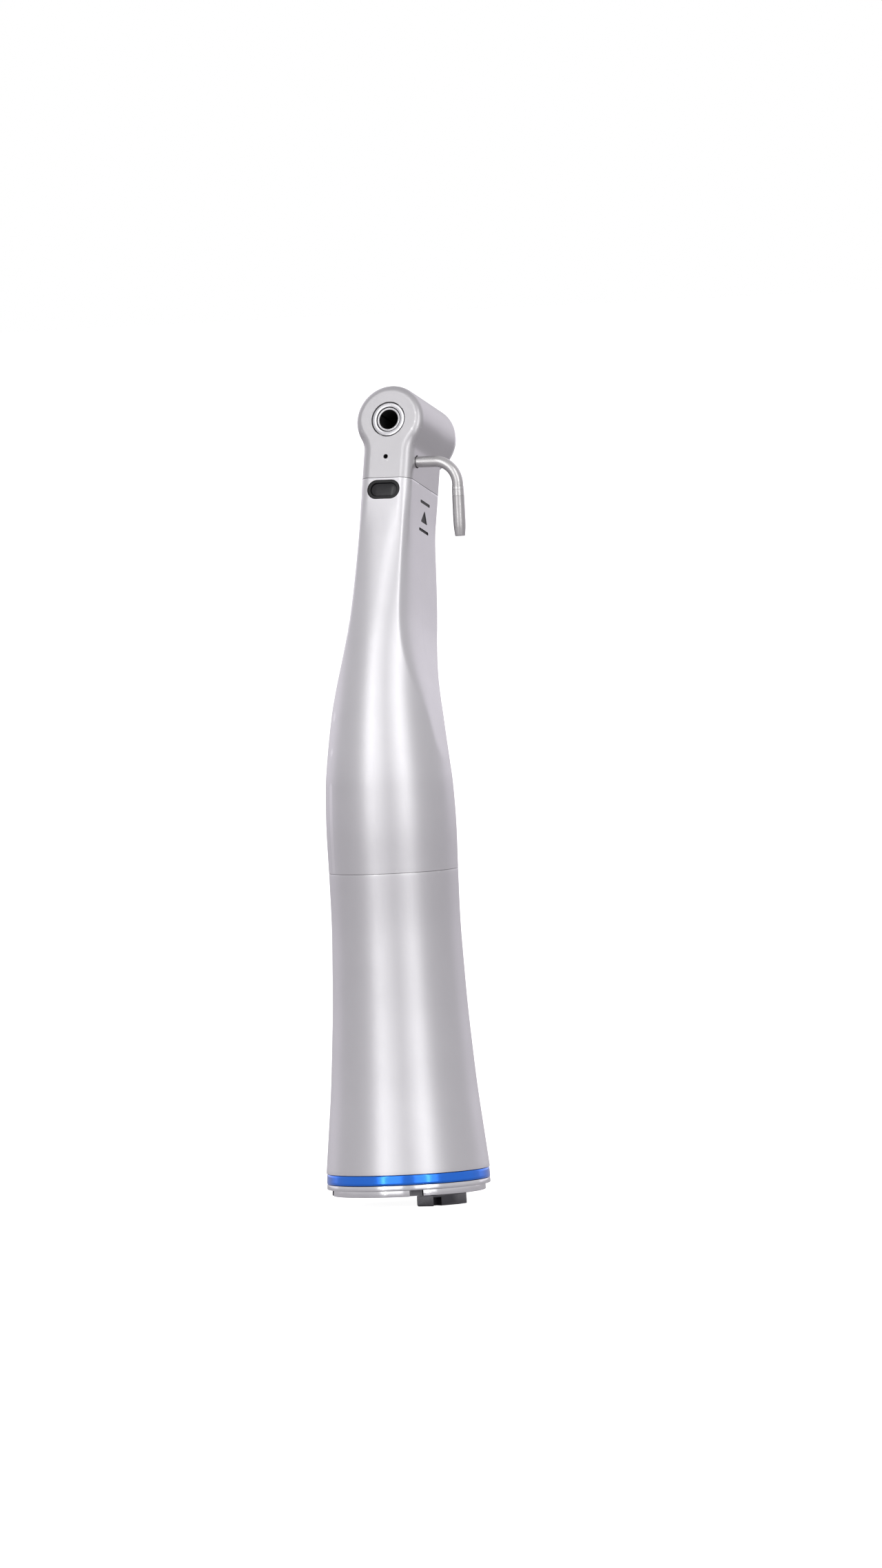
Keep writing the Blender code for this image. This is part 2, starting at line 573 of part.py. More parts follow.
# ---- head -----------------------------------------------------------------------------------
def head_line(steel, bright, brass, head):
    """Spindle, collet, gear and bearings on the head axis."""
    spindle = lathe("spindle", [
        (1.55, FRONT_T + 0.02), (1.98, FRONT_T + 0.02), (2.05, FRONT_T + 0.1), (2.05, -4.72),
        (SPINDLE_R, -4.72), (SPINDLE_R, 4.75), (0, 4.75), (0, 3.0), (1.55, 2.6)], bright, head, 32)
    collet = lathe("chuck_collet", [
        (BUR_BORE_R + 0.12, FRONT_T + 0.1), (1.48, FRONT_T + 0.1), (1.48, 2.0), (BUR_BORE_R, 2.0),
        (BUR_BORE_R, FRONT_T + 0.3)], steel, head, 24)
    for i in range(3):
        angle = math.radians(90 + 120 * i)
        frame = make_frame("collet_frame_%d" % i, head.matrix_world.translation / MM,
                           head.matrix_world.col[2].to_3d(),
                           head.matrix_world.to_3x3() @ Vector((math.cos(angle), math.sin(angle), 0)))
        boolean(collet, box("collet_slot_guide_%d" % i, (0.5, -0.12, -2.0), (2, 0.12, 3.0), frame))
    ball_bearing("head_front_bearing", head, bright, brass, -4.66, -2.76, 1.80, 3.35, 7)
    ball_bearing("head_rear_bearing", head, bright, brass, 3.45, 4.75, 1.80, 3.35, 7)
    across = neck_point(0, 1, 0) - neck_point(0, 0, 0)
    down = neck_point(0, 0, 0) - neck_point(0, 0, 1)
    gear_frame = make_frame("head_gear_frame", neck_point(0, 0, HEAD_S), -across, down)
    bevel_gear("head_gear", bright, gear_frame, HEAD_TEETH, 45.0, (2.0, 2.35), 0.5,
               (1.80, 2.1, 3.0, 3.4), (0.17, 0.24, 0.43))
    cap = [(3.0, 5.45), (3.32, 5.45), (3.32, 5.95), (HEAD_R, 5.95)]
    cap += arc_profile((HEAD_R - 0.5, 6.1), 0.5, 0, 90, 3) + [(2.6, 6.6), (2.6, 6.3), (3.0, 6.3)]
    lathe("head_cap", cap, steel, head, 32)
    button = [(0, 5.4), (0.8, 5.4), (0.8, 6.0), (2.9, 6.0), (2.9, 6.25), (2.5, 6.25)]
    button += arc_profile((1.7, 6.75), 0.8, 0, 75, 3) + [(0, 7.75)]
    lathe("push_button", button, steel, head, 24)
    coil_spring("button_spring", bright, head, 2.55, 0.12, 4.95, 5.82, 2)


# ---- light and irrigation -------------------------------------------------------------------
def light_path(black, glass, fibre):
    """Window frame and lens in the neck's front wall, and the rod that feeds them."""
    frame = stadium("window_frame", WINDOW_HALF[0] - 0.06, WINDOW_HALF[1], FRONT_T + 0.06,
                    FRONT_T + 0.62, black, 0.06)
    cut = stadium("lens_seat_guide", 1.72, 0.88, FRONT_T - 1, FRONT_T + 1)
    boolean(frame, cut)
    stadium("light_lens", 1.68, 0.88, FRONT_T + 0.16, FRONT_T + 0.55, glass, 0.04)
    route = [Vector((0, -5.45, 26.2)), Vector((0, -5.45, 49.0)), Vector((0, -5.05, 54.5)),
             neck_point(0, -4.35, -1.4), neck_point(0, -4.6, 3.0), neck_point(0, -4.3, 9.0),
             neck_point(0, -3.85, 16.0), neck_point(0, -3.7, 26.5)]
    bm = bmesh.new()
    sweep(bm, smooth_path(route, 3), 0.42, 8)
    add_mesh("light_guide", bm, fibre)


def smooth_path(route, steps):
    """Catmull-Rom curve through the route's points."""
    points = [route[0]] + route + [route[-1]]
    path = []
    for a, b, c, d in zip(points, points[1:], points[2:], points[3:]):
        for i in range(steps):
            u = i / steps
            path.append(0.5 * (2 * b + (c - a) * u + (2 * a - 5 * b + 4 * c - d) * u * u
                               + (3 * b - a - 3 * c + d) * u ** 3))
    return path + [route[-1]]


def irrigation(bright, rubber):
    """Bent tube in the side socket, its seal, and the nipple that a hose pushes onto."""
    seat = neck_point(NECK_HALF_WIDTH, TUBE_T, TUBE_S)
    path = [seat + Vector((-0.9, 0, 0)), seat + Vector((0.6, 0, 0))]
    center = Vector((TUBE_REACH_X - TUBE_BEND_R, seat.y, seat.z - TUBE_BEND_R))
    for i in range(9):
        angle = math.pi / 2 * (1 - i / 8)
        path.append(center + Vector((TUBE_BEND_R * math.cos(angle), 0, TUBE_BEND_R * math.sin(angle))))
    for height in (0.03, 0.02, -1.6):
        path.append(Vector((TUBE_REACH_X, seat.y, NIPPLE_Z[1] + height)))
    bm = bmesh.new()
    sweep(bm, path, TUBE_R, 12, 0.42, (2, 0.59))
    add_mesh("coolant_tube", bm, bright, None, 50.0)
    frame = make_frame("nipple_frame", (TUBE_REACH_X, seat.y, 0), (0, 0, 1), (1, 0, 0))
    low, high = NIPPLE_Z
    lathe("hose_nipple", [
        (0.61, high), (0.70, high), (0.745, high - 1.0), (0.75, low + 1.6), (0.63, low), (0.42, low),
        (0.42, high - 1.75), (0.61, high - 1.75)], bright, frame, 16)
    lathe("tube_seal", arc_profile((0.765, -0.4), 0.07, 0, 300, 5), rubber, socket_frame(), 12)


def main():
    for leftover in list(bpy.data.objects):
        bpy.data.objects.remove(leftover)
    satin = make_material("satin_steel", (0.60, 0.60, 0.63), 0.36, 1.0)
    bright = make_material("bright_steel", (0.72, 0.72, 0.74), 0.2, 1.0)
    brass = make_material("brass", (0.72, 0.55, 0.28), 0.3, 1.0)
    blue = make_material("blue_anodised", (0.02, 0.10, 0.62), 0.22, 0.8)
    dark = make_material("dark_steel", (0.16, 0.16, 0.17), 0.4, 1.0)
    black = make_material("black_frame", (0.01, 0.01, 0.011), 0.35, 0.0)
    glass = make_material("smoked_lens", (0.06, 0.06, 0.065), 0.12, 0.0)
    fibre = make_material("fibre_rod", (0.85, 0.88, 0.86), 0.15, 0.0)
    rubber = make_material("seal_rubber", (0.02, 0.02, 0.02), 0.7, 0.0)

    rear = make_frame("rear_axis", (0, 0, 0), (0, 0, 1), (1, 0, 0))
    along = neck_point(0, 0, 1) - neck_point(0, 0, 0)
    across = neck_point(0, 1, 0) - neck_point(0, 0, 0)
    neck = make_frame("neck_axis", neck_point(0, 0, 0), along, (1, 0, 0))
    head = make_frame("head_axis", neck_point(0, 0, HEAD_S), across, (1, 0, 0))
    bpy.context.view_layer.update()

    rear_sheath(satin, rear)
    neck_housing(satin, rear)
    head_housing(satin, neck, head)
    rear_rings(bright, blue, rear)
    alignment_lug(dark, rear)
    coupling_sleeve(bright, rear)
    rear_line(satin, bright, brass, rear)
    neck_line(satin, bright, brass, neck)
    head_line(satin, bright, brass, head)
    light_path(black, glass, fibre)
    irrigation(bright, rubber)


main()
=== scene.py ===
"""Looks of a straight-ratio dental contra-angle handpiece with light window and irrigation tube.

Sizes are in millimetres, in the handpiece frame: the origin is the centre of the rear end face,
+Z runs along the motor axis towards the head, -Y is the side that the bur leaves from, and +X is
the side that carries the irrigation tube. Meshes are made in metres.
"""

import json
import logging
import math
from dataclasses import dataclass
from enum import Enum

import bmesh
import bpy
from mathutils import Matrix, Vector


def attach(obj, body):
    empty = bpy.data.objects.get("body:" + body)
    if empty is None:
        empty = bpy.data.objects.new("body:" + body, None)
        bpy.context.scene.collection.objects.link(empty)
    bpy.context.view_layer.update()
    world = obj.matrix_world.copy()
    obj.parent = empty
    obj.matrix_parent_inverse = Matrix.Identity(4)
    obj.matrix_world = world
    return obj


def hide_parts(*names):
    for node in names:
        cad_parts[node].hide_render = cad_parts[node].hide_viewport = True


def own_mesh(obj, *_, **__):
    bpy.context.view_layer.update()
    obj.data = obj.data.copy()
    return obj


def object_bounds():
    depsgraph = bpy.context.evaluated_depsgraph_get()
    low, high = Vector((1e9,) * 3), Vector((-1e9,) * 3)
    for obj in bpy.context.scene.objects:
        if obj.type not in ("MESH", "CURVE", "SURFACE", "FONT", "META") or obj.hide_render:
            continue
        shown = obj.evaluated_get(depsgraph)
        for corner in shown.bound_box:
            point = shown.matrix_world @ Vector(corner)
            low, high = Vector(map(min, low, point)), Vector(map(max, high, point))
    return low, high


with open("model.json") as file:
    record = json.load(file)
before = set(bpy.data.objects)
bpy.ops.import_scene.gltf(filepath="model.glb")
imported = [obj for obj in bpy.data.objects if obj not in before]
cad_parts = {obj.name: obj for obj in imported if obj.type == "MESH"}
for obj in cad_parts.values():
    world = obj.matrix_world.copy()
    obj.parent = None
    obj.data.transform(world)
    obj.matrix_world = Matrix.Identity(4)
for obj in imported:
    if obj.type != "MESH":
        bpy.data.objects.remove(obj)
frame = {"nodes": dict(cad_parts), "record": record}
CAD_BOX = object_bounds()

LOG = logging.getLogger("handpiece")
MM = 0.001
TAU = 2 * math.pi

NECK_TILT = math.radians(17.5)
ELBOW_Z = 59.5        # where the motor axis meets the neck axis
BEND_TANGENT = 9.5    # how far from the elbow the bend starts and ends
HEAD_S = 34.8         # from the elbow to the spindle axis, along the neck
FRONT_T = -5.3        # from the neck axis to the flat front face, across the neck
SEAM_Z = 39.4         # seam between the sheath and the neck
SEAM_S = 27.45        # seam between the neck and the head, along the neck
SEAM_GAP = 0.025
REAR_R = 10.0


# ---- frames ---------------------------------------------------------------------------------
@dataclass(frozen=True)
class Axes:
    """A place and the three directions that a sub-assembly is drawn in."""

    origin: Vector
    x: Vector
    y: Vector
    z: Vector

    def point(self, x: float, y: float, z: float) -> Vector:
        """Point in the handpiece frame, from three distances in this one."""
        return self.origin + self.x * x + self.y * y + self.z * z

    def moved(self, x: float, y: float, z: float) -> "Axes":
        """The same directions from another origin, given in this frame."""
        return Axes(self.point(x, y, z), self.x, self.y, self.z)

    def turned(self, degrees: float) -> "Axes":
        """The same origin, turned about this frame's z direction."""
        c, s = math.cos(math.radians(degrees)), math.sin(math.radians(degrees))
        return Axes(self.origin, self.x * c + self.y * s, self.y * c - self.x * s, self.z)


ACROSS = Vector((0, math.cos(NECK_TILT), -math.sin(NECK_TILT)))
ALONG = Vector((0, math.sin(NECK_TILT), math.cos(NECK_TILT)))
SIDE = Vector((1, 0, 0))
REAR = Axes(Vector((0, 0, 0)), SIDE, Vector((0, 1, 0)), Vector((0, 0, 1)))
NECK = Axes(Vector((0, 0, ELBOW_Z)), SIDE, ACROSS, ALONG)
HEAD = Axes(NECK.point(0, 0, HEAD_S), SIDE, -ALONG, ACROSS)


# ---- finishes -------------------------------------------------------------------------------
class Grain(Enum):
    """How a surface was finished, which sets the direction of its fine marks."""

    BLASTED = "blasted"
    TURNED_REAR = "turned about the motor axis"
    TURNED_NECK = "turned about the neck axis"
    TURNED_HEAD = "turned about the spindle axis"


class NodeSheet:
    """Adds and links the nodes of one material."""

    def __init__(self, name: str) -> None:
        """Start a material that holds one shader and its output."""
        self.material = bpy.data.materials.new(name)
        self.material.use_nodes = True
        self.tree = self.material.node_tree
        self.shader = self.tree.nodes["Principled BSDF"]

    def add(self, kind: str, inputs: dict | None = None, **settings: object) -> bpy.types.Node:
        """Add a node.

        Args:
            kind: The node's type name.
            inputs: Values or output sockets, by the input's name or number.
            settings: Properties set on the node itself.

        Returns:
            The new node.
        """
        node = self.tree.nodes.new(kind)
        for key, value in settings.items():
            setattr(node, key, value)
        for key, value in (inputs or {}).items():
            if isinstance(value, bpy.types.NodeSocket):
                self.tree.links.new(value, node.inputs[key])
            else:
                node.inputs[key].default_value = value
        return node

    def drive(self, socket: str, source: bpy.types.NodeSocket) -> None:
        """Link a socket of the shader to a node's output."""
        self.tree.links.new(source, self.shader.inputs[socket])

    def blend(self, factor: bpy.types.NodeSocket, low: object,
              high: object) -> bpy.types.NodeSocket:
        """Mix two colours.

        Args:
            factor: Output socket that runs from 0, all low, to 1, all high.
            low: A colour triple or an output socket.
            high: A colour triple or an output socket.

        Returns:
            The mixed colour's output socket.
        """
        node = self.add("ShaderNodeMix", {0: factor}, data_type="RGBA")
        for index, value in ((6, low), (7, high)):
            if isinstance(value, bpy.types.NodeSocket):
                self.tree.links.new(value, node.inputs[index])
            else:
                node.inputs[index].default_value = (*value, 1.0)
        return node.outputs[2]

    def marks(self, grain: Grain, size_mm: float, detail: float = 2.0) -> bpy.types.NodeSocket:
        """Fine noise, even or drawn out round an axis.

        Args:
            grain: How the surface was finished.
            size_mm: Width of one mark.
            detail: Octaves of the noise.

        Returns:
            The noise's output socket, from 0 to 1.
        """
        place = self.add("ShaderNodeTexCoord")
        vector = place.outputs["Object"]
        if grain is not Grain.BLASTED:
            tilt = {Grain.TURNED_REAR: 0.0, Grain.TURNED_NECK: NECK_TILT,
                    Grain.TURNED_HEAD: NECK_TILT + math.pi / 2}[grain]
            turned = self.add("ShaderNodeMapping", {"Vector": vector,
                                                    "Location": Matrix.Rotation(tilt, 3, "X")
                                                    @ Vector((0, 0, -ELBOW_Z * MM)),
                                                    "Rotation": (tilt, 0, 0)})
            drawn = self.add("ShaderNodeVectorMath", {0: turned.outputs["Vector"],
                                                      1: (0.02, 0.02, 1.0)}, operation="MULTIPLY")
            vector = drawn.outputs["Vector"]
        noise = self.add("ShaderNodeTexNoise", {"Vector": vector, "Scale": 1 / (size_mm * MM),
                                                "Detail": detail, "Roughness": 0.55})
        return noise.outputs["Fac"]

    def ranged(self, value: bpy.types.NodeSocket, low: float, high: float,
               span: tuple[float, float] = (0.3, 0.7)) -> bpy.types.NodeSocket:
        """Map a socket's span onto low to high, and return the mapped socket."""
        node = self.add("ShaderNodeMapRange", {"Value": value, "From Min": span[0],
                                               "From Max": span[1], "To Min": low,
                                               "To Max": high})
        return node.outputs["Result"]

    def bump(self, height: bpy.types.NodeSocket, strength: float, depth_mm: float) -> None:
        """Raise the surface by a height socket."""
        node = self.add("ShaderNodeBump", {"Height": height, "Strength": strength,
                                           "Distance": depth_mm * MM})
        self.drive("Normal", node.outputs["Normal"])


@dataclass(frozen=True)
class Metal:
    """A bare or coated metal: soft clouding, fine marks and bright worn edges."""

    name: str
    color: tuple[float, float, float]
    roughness: float
    grain: Grain = Grain.BLASTED
    mark_mm: float = 0.09
    mark_strength: float = 0.25
    clouding: float = 0.04
    spread: float = 0.05
    wear: float = 0.5
    metallic: float = 1.0
    coat: float = 0.0
    coat_ior: float = 1.5

    def make(self) -> bpy.types.Material:
        """Build the material and return it."""
        sheet = NodeSheet(self.name)
        sheet.shader.inputs["Metallic"].default_value = self.metallic
        sheet.shader.inputs["Coat IOR"].default_value = self.coat_ior
        sheet.shader.inputs["Coat Weight"].default_value = self.coat
        sheet.shader.inputs["Coat Roughness"].default_value = 0.08
        fine = sheet.marks(self.grain, self.mark_mm)
        cloud = sheet.ranged(sheet.marks(Grain.BLASTED, 4.0, 3.0), 0.0, 1.0)
        deep = tuple(c * (1 - self.clouding) for c in self.color)
        pale = tuple(min(1.0, c * (1 + self.clouding)) for c in self.color)
        bright = tuple(min(1.0, c * 0.6 + 0.38) for c in self.color)
        shape = sheet.add("ShaderNodeNewGeometry")
        worn = sheet.ranged(shape.outputs["Pointiness"], 0.0, self.wear, (0.515, 0.6))
        sheet.drive("Base Color", sheet.blend(worn, sheet.blend(cloud, deep, pale), bright))
        rough = sheet.ranged(fine, max(0.03, self.roughness - self.spread),
                             self.roughness + self.spread)
        eased = sheet.add("ShaderNodeMath", {0: worn, 1: -0.15, 2: rough},
                          operation="MULTIPLY_ADD")
        sheet.drive("Roughness", eased.outputs["Value"])
        sheet.bump(fine, self.mark_strength, 0.01)
        return sheet.material


@dataclass(frozen=True)
class Moulding:
    """A plastic or rubber part with a faint moulded texture."""

    name: str
    color: tuple[float, float, float]
    roughness: float
    mark_mm: float = 0.15
    coat: float = 0.0

    def make(self) -> bpy.types.Material:
        """Build the material and return it."""
        sheet = NodeSheet(self.name)
        sheet.shader.inputs["Coat Weight"].default_value = self.coat
        fine = sheet.marks(Grain.BLASTED, self.mark_mm)
        deep = tuple(c * 0.85 for c in self.color)
        pale = tuple(min(1.0, c * 1.2 + 0.002) for c in self.color)
        sheet.drive("Base Color", sheet.blend(sheet.ranged(fine, 0.0, 1.0), deep, pale))
        sheet.drive("Roughness", sheet.ranged(fine, self.roughness - 0.05, self.roughness + 0.08))
        sheet.bump(fine, 0.2, 0.01)
        return sheet.material


@dataclass(frozen=True)
class LensGlass:
    """Dark translucent light window, a little cloudy."""

    name: str
    color: tuple[float, float, float]
    roughness: float

    def make(self) -> bpy.types.Material:
        """Build the material and return it."""
        sheet = NodeSheet(self.name)
        sheet.shader.inputs["Coat Weight"].default_value = 0.1
        sheet.shader.inputs["IOR"].default_value = 1.45
        sheet.shader.inputs["Transmission Weight"].default_value = 0.15
        cloud = sheet.ranged(sheet.marks(Grain.BLASTED, 0.7), 0.0, 1.0)
        deep = tuple(c * 0.85 for c in self.color)
        sheet.drive("Base Color", sheet.blend(cloud, deep, self.color))
        sheet.drive("Roughness", sheet.ranged(cloud, self.roughness, self.roughness + 0.04,
                                              (0.0, 1.0)))
        return sheet.material


FINISHES = (
    Metal("satin_steel", (0.66, 0.655, 0.67), 0.4, clouding=0.012),
    Metal("head_satin", (0.55, 0.545, 0.555), 0.4, clouding=0.012),
    Metal("polished_steel", (0.74, 0.74, 0.755), 0.16, Grain.TURNED_REAR, 0.06, 0.18),
    Metal("head_polish", (0.72, 0.72, 0.735), 0.2, Grain.TURNED_HEAD, 0.05, 0.2),
    Metal("blue_band", (0.03, 0.2, 0.85), 0.17, Grain.TURNED_REAR, 0.07, 0.1, 0.03, 0.03, 0.05,
          coat=0.25, coat_ior=1.5),
    Metal("dark_lug", (0.085, 0.085, 0.092), 0.34, mark_mm=0.12),
    Metal("inner_steel", (0.56, 0.56, 0.57), 0.32, Grain.TURNED_REAR, 0.08, 0.3),
    Metal("brass", (0.74, 0.55, 0.27), 0.26, Grain.TURNED_NECK, 0.08, 0.3),
    Metal("hard_steel", (0.5, 0.5, 0.52), 0.24, mark_mm=0.07, mark_strength=0.15),
    Metal("race_steel", (0.68, 0.68, 0.7), 0.14, Grain.TURNED_REAR, 0.05, 0.15),
    Metal("ball_cage", (0.7, 0.66, 0.58), 0.22, mark_mm=0.06),
    Metal("tube_steel", (0.56, 0.555, 0.55), 0.32, mark_mm=0.06, mark_strength=0.12),
    # Dark colour of the engraved side mark; the same finish is also painted shade lining the head's
    # spindle bore, spray hole, irrigation socket and the tube's bore.
    Metal("engraving_and_hole_shade", (0.03, 0.03, 0.032), 0.5, metallic=0.2),
    Moulding("black_frame", (0.003, 0.003, 0.0035), 0.5),
    # Painted shade: near-black lining for the chuck's bores and collet slots, where the light does
    # not reach.
    Moulding("painted_bore_shade", (0.002, 0.002, 0.002), 0.85),
    Moulding("seal_rubber", (0.014, 0.014, 0.014), 0.6),
    Moulding("fibre_rod", (0.75, 0.78, 0.76), 0.15, coat=0.6),
    LensGlass("smoked_lens", (0.01, 0.01, 0.012), 0.22),
)


class Paintbox:
    """Makes each finish once and puts it on pieces."""

    def __init__(self) -> None:
        """Build every finish of the handpiece."""
        self.made = {finish.name: finish.make() for finish in FINISHES}

    def __getitem__(self, name: str) -> bpy.types.Material:
        """The material of that name."""
        return self.made[name]

    def dress_carried(self, nodes: dict[str, bpy.types.Object], record: dict) -> None:
        """Give every CAD node that still shows the finish of its record slot.

        Args:
            nodes: CAD objects by node name.
            record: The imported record, whose subparts name the slot of each node.
        """
        for part in record["subparts"]:
            piece = nodes[part["node"]]
            for slot in piece.material_slots:
                slot.material = self.made[part["material_slot"]]
            if not piece.hide_render:
                LOG.info("carried over %s in %s", part["node"], part["material_slot"])


# ---- mesh building --------------------------------------------------------------------------
class Shape:
    """A mesh under construction, in millimetres in the handpiece frame."""

    def __init__(self) -> None:
        """Start with nothing."""
        self.bm = bmesh.new()

    def bridge(self, first: list, second: list) -> None:
        """Faces between two closed rings, either of which may be a single point."""
        count = max(len(first), len(second))
        for i in range(count):
            j = (i + 1) % count
            if len(first) == 1:
                self.bm.faces.new((first[0], second[j], second[i]))
            elif len(second) == 1:
                self.bm.faces.new((first[i], first[j], second[0]))
            else:
                self.bm.faces.new((first[i], first[j], second[j], second[i]))

    def ring(self, points: list[Vector]) -> list:
        """Add the points of one ring and return their vertices."""
        return [self.bm.verts.new(point) for point in points]

    def turn(self, outline: list[tuple[float, float]], axes: Axes, segments: int = 160) -> "Shape":
        """Turn a closed outline about an axis.

        Args:
            outline: Points of radius and height, as one closed loop.
            axes: Frame whose z direction is the axis.
            segments: Steps round the axis.

        Returns:
            This shape.
        """
        rings = []
        for radius, height in outline:
            count = 1 if radius < 1e-6 else segments
            rings.append(self.ring([axes.point(radius * math.cos(TAU * i / segments),
                                               radius * math.sin(TAU * i / segments), height)
                                    for i in range(count)]))
        for i, ring in enumerate(rings):
            following = rings[(i + 1) % len(rings)]
            if len(ring) > 1 or len(following) > 1:
                self.bridge(ring, following)
        return self

    def loft(self, sections: list[list[Vector]], closed: bool = False) -> "Shape":
        """Skin equal rings of points.

        Args:
            sections: Rings in order.
            closed: True if the last ring joins the first, False for two flat ends.

        Returns:
            This shape.
        """
        rings = [self.ring(section) for section in sections]
        for first, second in zip(rings, rings[1:]):
            self.bridge(first, second)
        if closed:
            self.bridge(rings[-1], rings[0])
        else:
            self.bm.faces.new(rings[0])
            self.bm.faces.new(rings[-1])
        return self

    def prism(self, outline: list[tuple[float, float]], axes: Axes, low: float,
              high: float) -> "Shape":
        """Closed prism with an outline across the frame's z direction, from low to high."""
        return self.loft([[axes.point(x, y, z) for x, y in outline] for z in (low, high)])

    def finish(self, name: str, *materials: bpy.types.Material,
               sharp: float = 32.0) -> bpy.types.Object:
        """Turn the shape into an object in metres, at the origin.

        Args:
            name: Name of the piece.
            materials: Materials of its slots.
            sharp: Angle in degrees past which an edge is shaded sharp.

        Returns:
            The new object.
        """
        bmesh.ops.recalc_face_normals(self.bm, faces=self.bm.faces)
        bmesh.ops.scale(self.bm, vec=(MM, MM, MM), verts=self.bm.verts)
        mesh = bpy.data.meshes.new(name)
        self.bm.to_mesh(mesh)
        self.bm.free()
        mesh.shade_smooth()
        mesh.set_sharp_from_angle(angle=math.radians(sharp))
        piece = bpy.data.objects.new(name, mesh)
        for material in materials:
            mesh.materials.append(material)
        bpy.context.scene.collection.objects.link(piece)
        return piece


def eased(outline: list[tuple], steps: int = 5) -> list[tuple[float, float]]:
    """Round the corners of a closed outline.

    Args:
        outline: Points of two coordinates and, where the corner is rounded, a radius.
        steps: Steps round each corner.

    Returns:
        The outline's points with the rounded corners drawn out.
    """
    points = []
    for i, entry in enumerate(outline):
        here = Vector(entry[:2])
        radius = entry[2] if len(entry) > 2 else 0.0
        if radius <= 0:
            points.append(tuple(here))
            continue
        back = (Vector(outline[i - 1][:2]) - here).normalized()
        ahead = (Vector(outline[(i + 1) % len(outline)][:2]) - here).normalized()
        half = back.angle(ahead) / 2
        center = here + (back + ahead).normalized() * (radius / math.sin(half))
        start = here + back * (radius / math.tan(half)) - center
        end = here + ahead * (radius / math.tan(half)) - center
        for k in range(steps + 1):
            points.append(tuple(center + start.slerp(end, k / steps).normalized() * radius))
    return points


def flowing(stops: list[tuple[float, ...]], count: int) -> list[tuple[float, ...]]:
    """Smooth curve of any number of values through stops that rise in their first value.

    Args:
        stops: Values at each stop, the first of them the distance.
        count: Number of steps.

    Returns:
        The eased values, one row for each step and one more.
    """
    def slope(i: int, k: int) -> float:
        """Slope of value k at stop i."""
        low, high = max(i - 1, 0), min(i + 1, len(stops) - 1)
        return (stops[high][k] - stops[low][k]) / (stops[high][0] - stops[low][0])

    rows = []
    for step in range(count + 1):
        at = stops[0][0] + (stops[-1][0] - stops[0][0]) * step / count
        i = max(0, min(len(stops) - 2, sum(1 for stop in stops if stop[0] <= at) - 1))
        span = stops[i + 1][0] - stops[i][0]
        u = (at - stops[i][0]) / span
        row = [at]
        for k in range(1, len(stops[0])):
            a, b = stops[i][k], stops[i + 1][k]
            row.append((2 * u ** 3 - 3 * u ** 2 + 1) * a + (u ** 3 - 2 * u ** 2 + u) * span
                       * slope(i, k) + (3 * u ** 2 - 2 * u ** 3) * b
                       + (u ** 3 - u ** 2) * span * slope(i + 1, k))
        rows.append(tuple(row))
    return rows


def carve(piece: bpy.types.Object, cutters: list[bpy.types.Object],
          sharp: float = 32.0) -> bpy.types.Object:
    """Cut shapes out of a piece for good, and throw the cutters away.

    Args:
        piece: The piece to cut.
        cutters: Closed solids, whose own materials line the cuts.
        sharp: Angle in degrees past which an edge is shaded sharp.

    Returns:
        The same piece with its mesh cut.
    """
    for cutter in cutters:
        modifier = piece.modifiers.new("cut", "BOOLEAN")
        modifier.operation = "DIFFERENCE"
        modifier.solver = "EXACT"
        modifier.material_mode = "TRANSFER"
        modifier.object = cutter
    bpy.context.view_layer.update()
    result = bpy.data.meshes.new_from_object(
        piece.evaluated_get(bpy.context.evaluated_depsgraph_get()))
    piece.modifiers.clear()
    old, piece.data = piece.data, result
    bpy.data.meshes.remove(old)
    for cutter in cutters:
        bpy.data.objects.remove(cutter)
    result.shade_smooth()
    result.set_sharp_from_angle(angle=math.radians(sharp))
    return piece


def replace_in_body(piece: bpy.types.Object, body: str, slot: str,
                    *nodes: str) -> bpy.types.Object:
    """Make a piece ride on a body in place of its CAD nodes.

    Args:
        piece: The finished piece.
        body: CAD body that it moves with.
        slot: Record slot that its finish belongs to. Not used.
        nodes: CAD nodes that it stands for.

    Returns:
        The same piece.
    """
    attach(piece, body)
    if nodes:
        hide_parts(*nodes)
    LOG.info("built %s: %d faces", piece.name, len(piece.data.polygons))
    return piece


# ---- geometry nodes -------------------------------------------------------------------------
class Value:
    """A number that a node tree works out at each point, written as ordinary sums."""

    def __init__(self, graph: "Graph", source: object) -> None:
        """Hold an output socket or a plain number."""
        self.graph = graph
        self.source = source.source if isinstance(source, Value) else source

    def _with(self, operation: str, *others: object) -> "Value":
        """One math node of this value and the others."""
        inputs = {i: other.source if isinstance(other, Value) else other
                  for i, other in enumerate((self, *others))}
        return Value(self.graph, self.graph.add("ShaderNodeMath", inputs,
                                                operation=operation).outputs[0])

    def __add__(self, other: object) -> "Value":
        """Sum."""
        return self._with("ADD", other)

    def __sub__(self, other: object) -> "Value":
        """Difference."""
        return self._with("SUBTRACT", other)

    def __mul__(self, other: object) -> "Value":
        """Product."""
        return self._with("MULTIPLY", other)

    def lowest(self, other: object) -> "Value":
        """The lower of two."""
        return self._with("MINIMUM", other)

    def highest(self, other: object) -> "Value":
        """The higher of two."""
        return self._with("MAXIMUM", other)

    def above(self, other: object) -> "Value":
        """1 where this is greater, else 0."""
        return self._with("GREATER_THAN", other)

    def size(self) -> "Value":
        """Absolute value."""
        return self._with("ABSOLUTE")

    def with_side(self, other: "Value") -> "Value":
        """Length of the diagonal of this and another side."""
        return (self * self + other * other)._with("SQRT")

    def blended(self, other: object, reach: object) -> "Value":
        """The lower of two, with the crease between them eased over a reach."""
        return self._with("SMOOTH_MIN", other, reach)

    def chosen(self, yes: object, no: object) -> "Value":
        """yes where this is 1, no where it is 0."""
        other = Value(self.graph, yes) - no
        return other * self + no


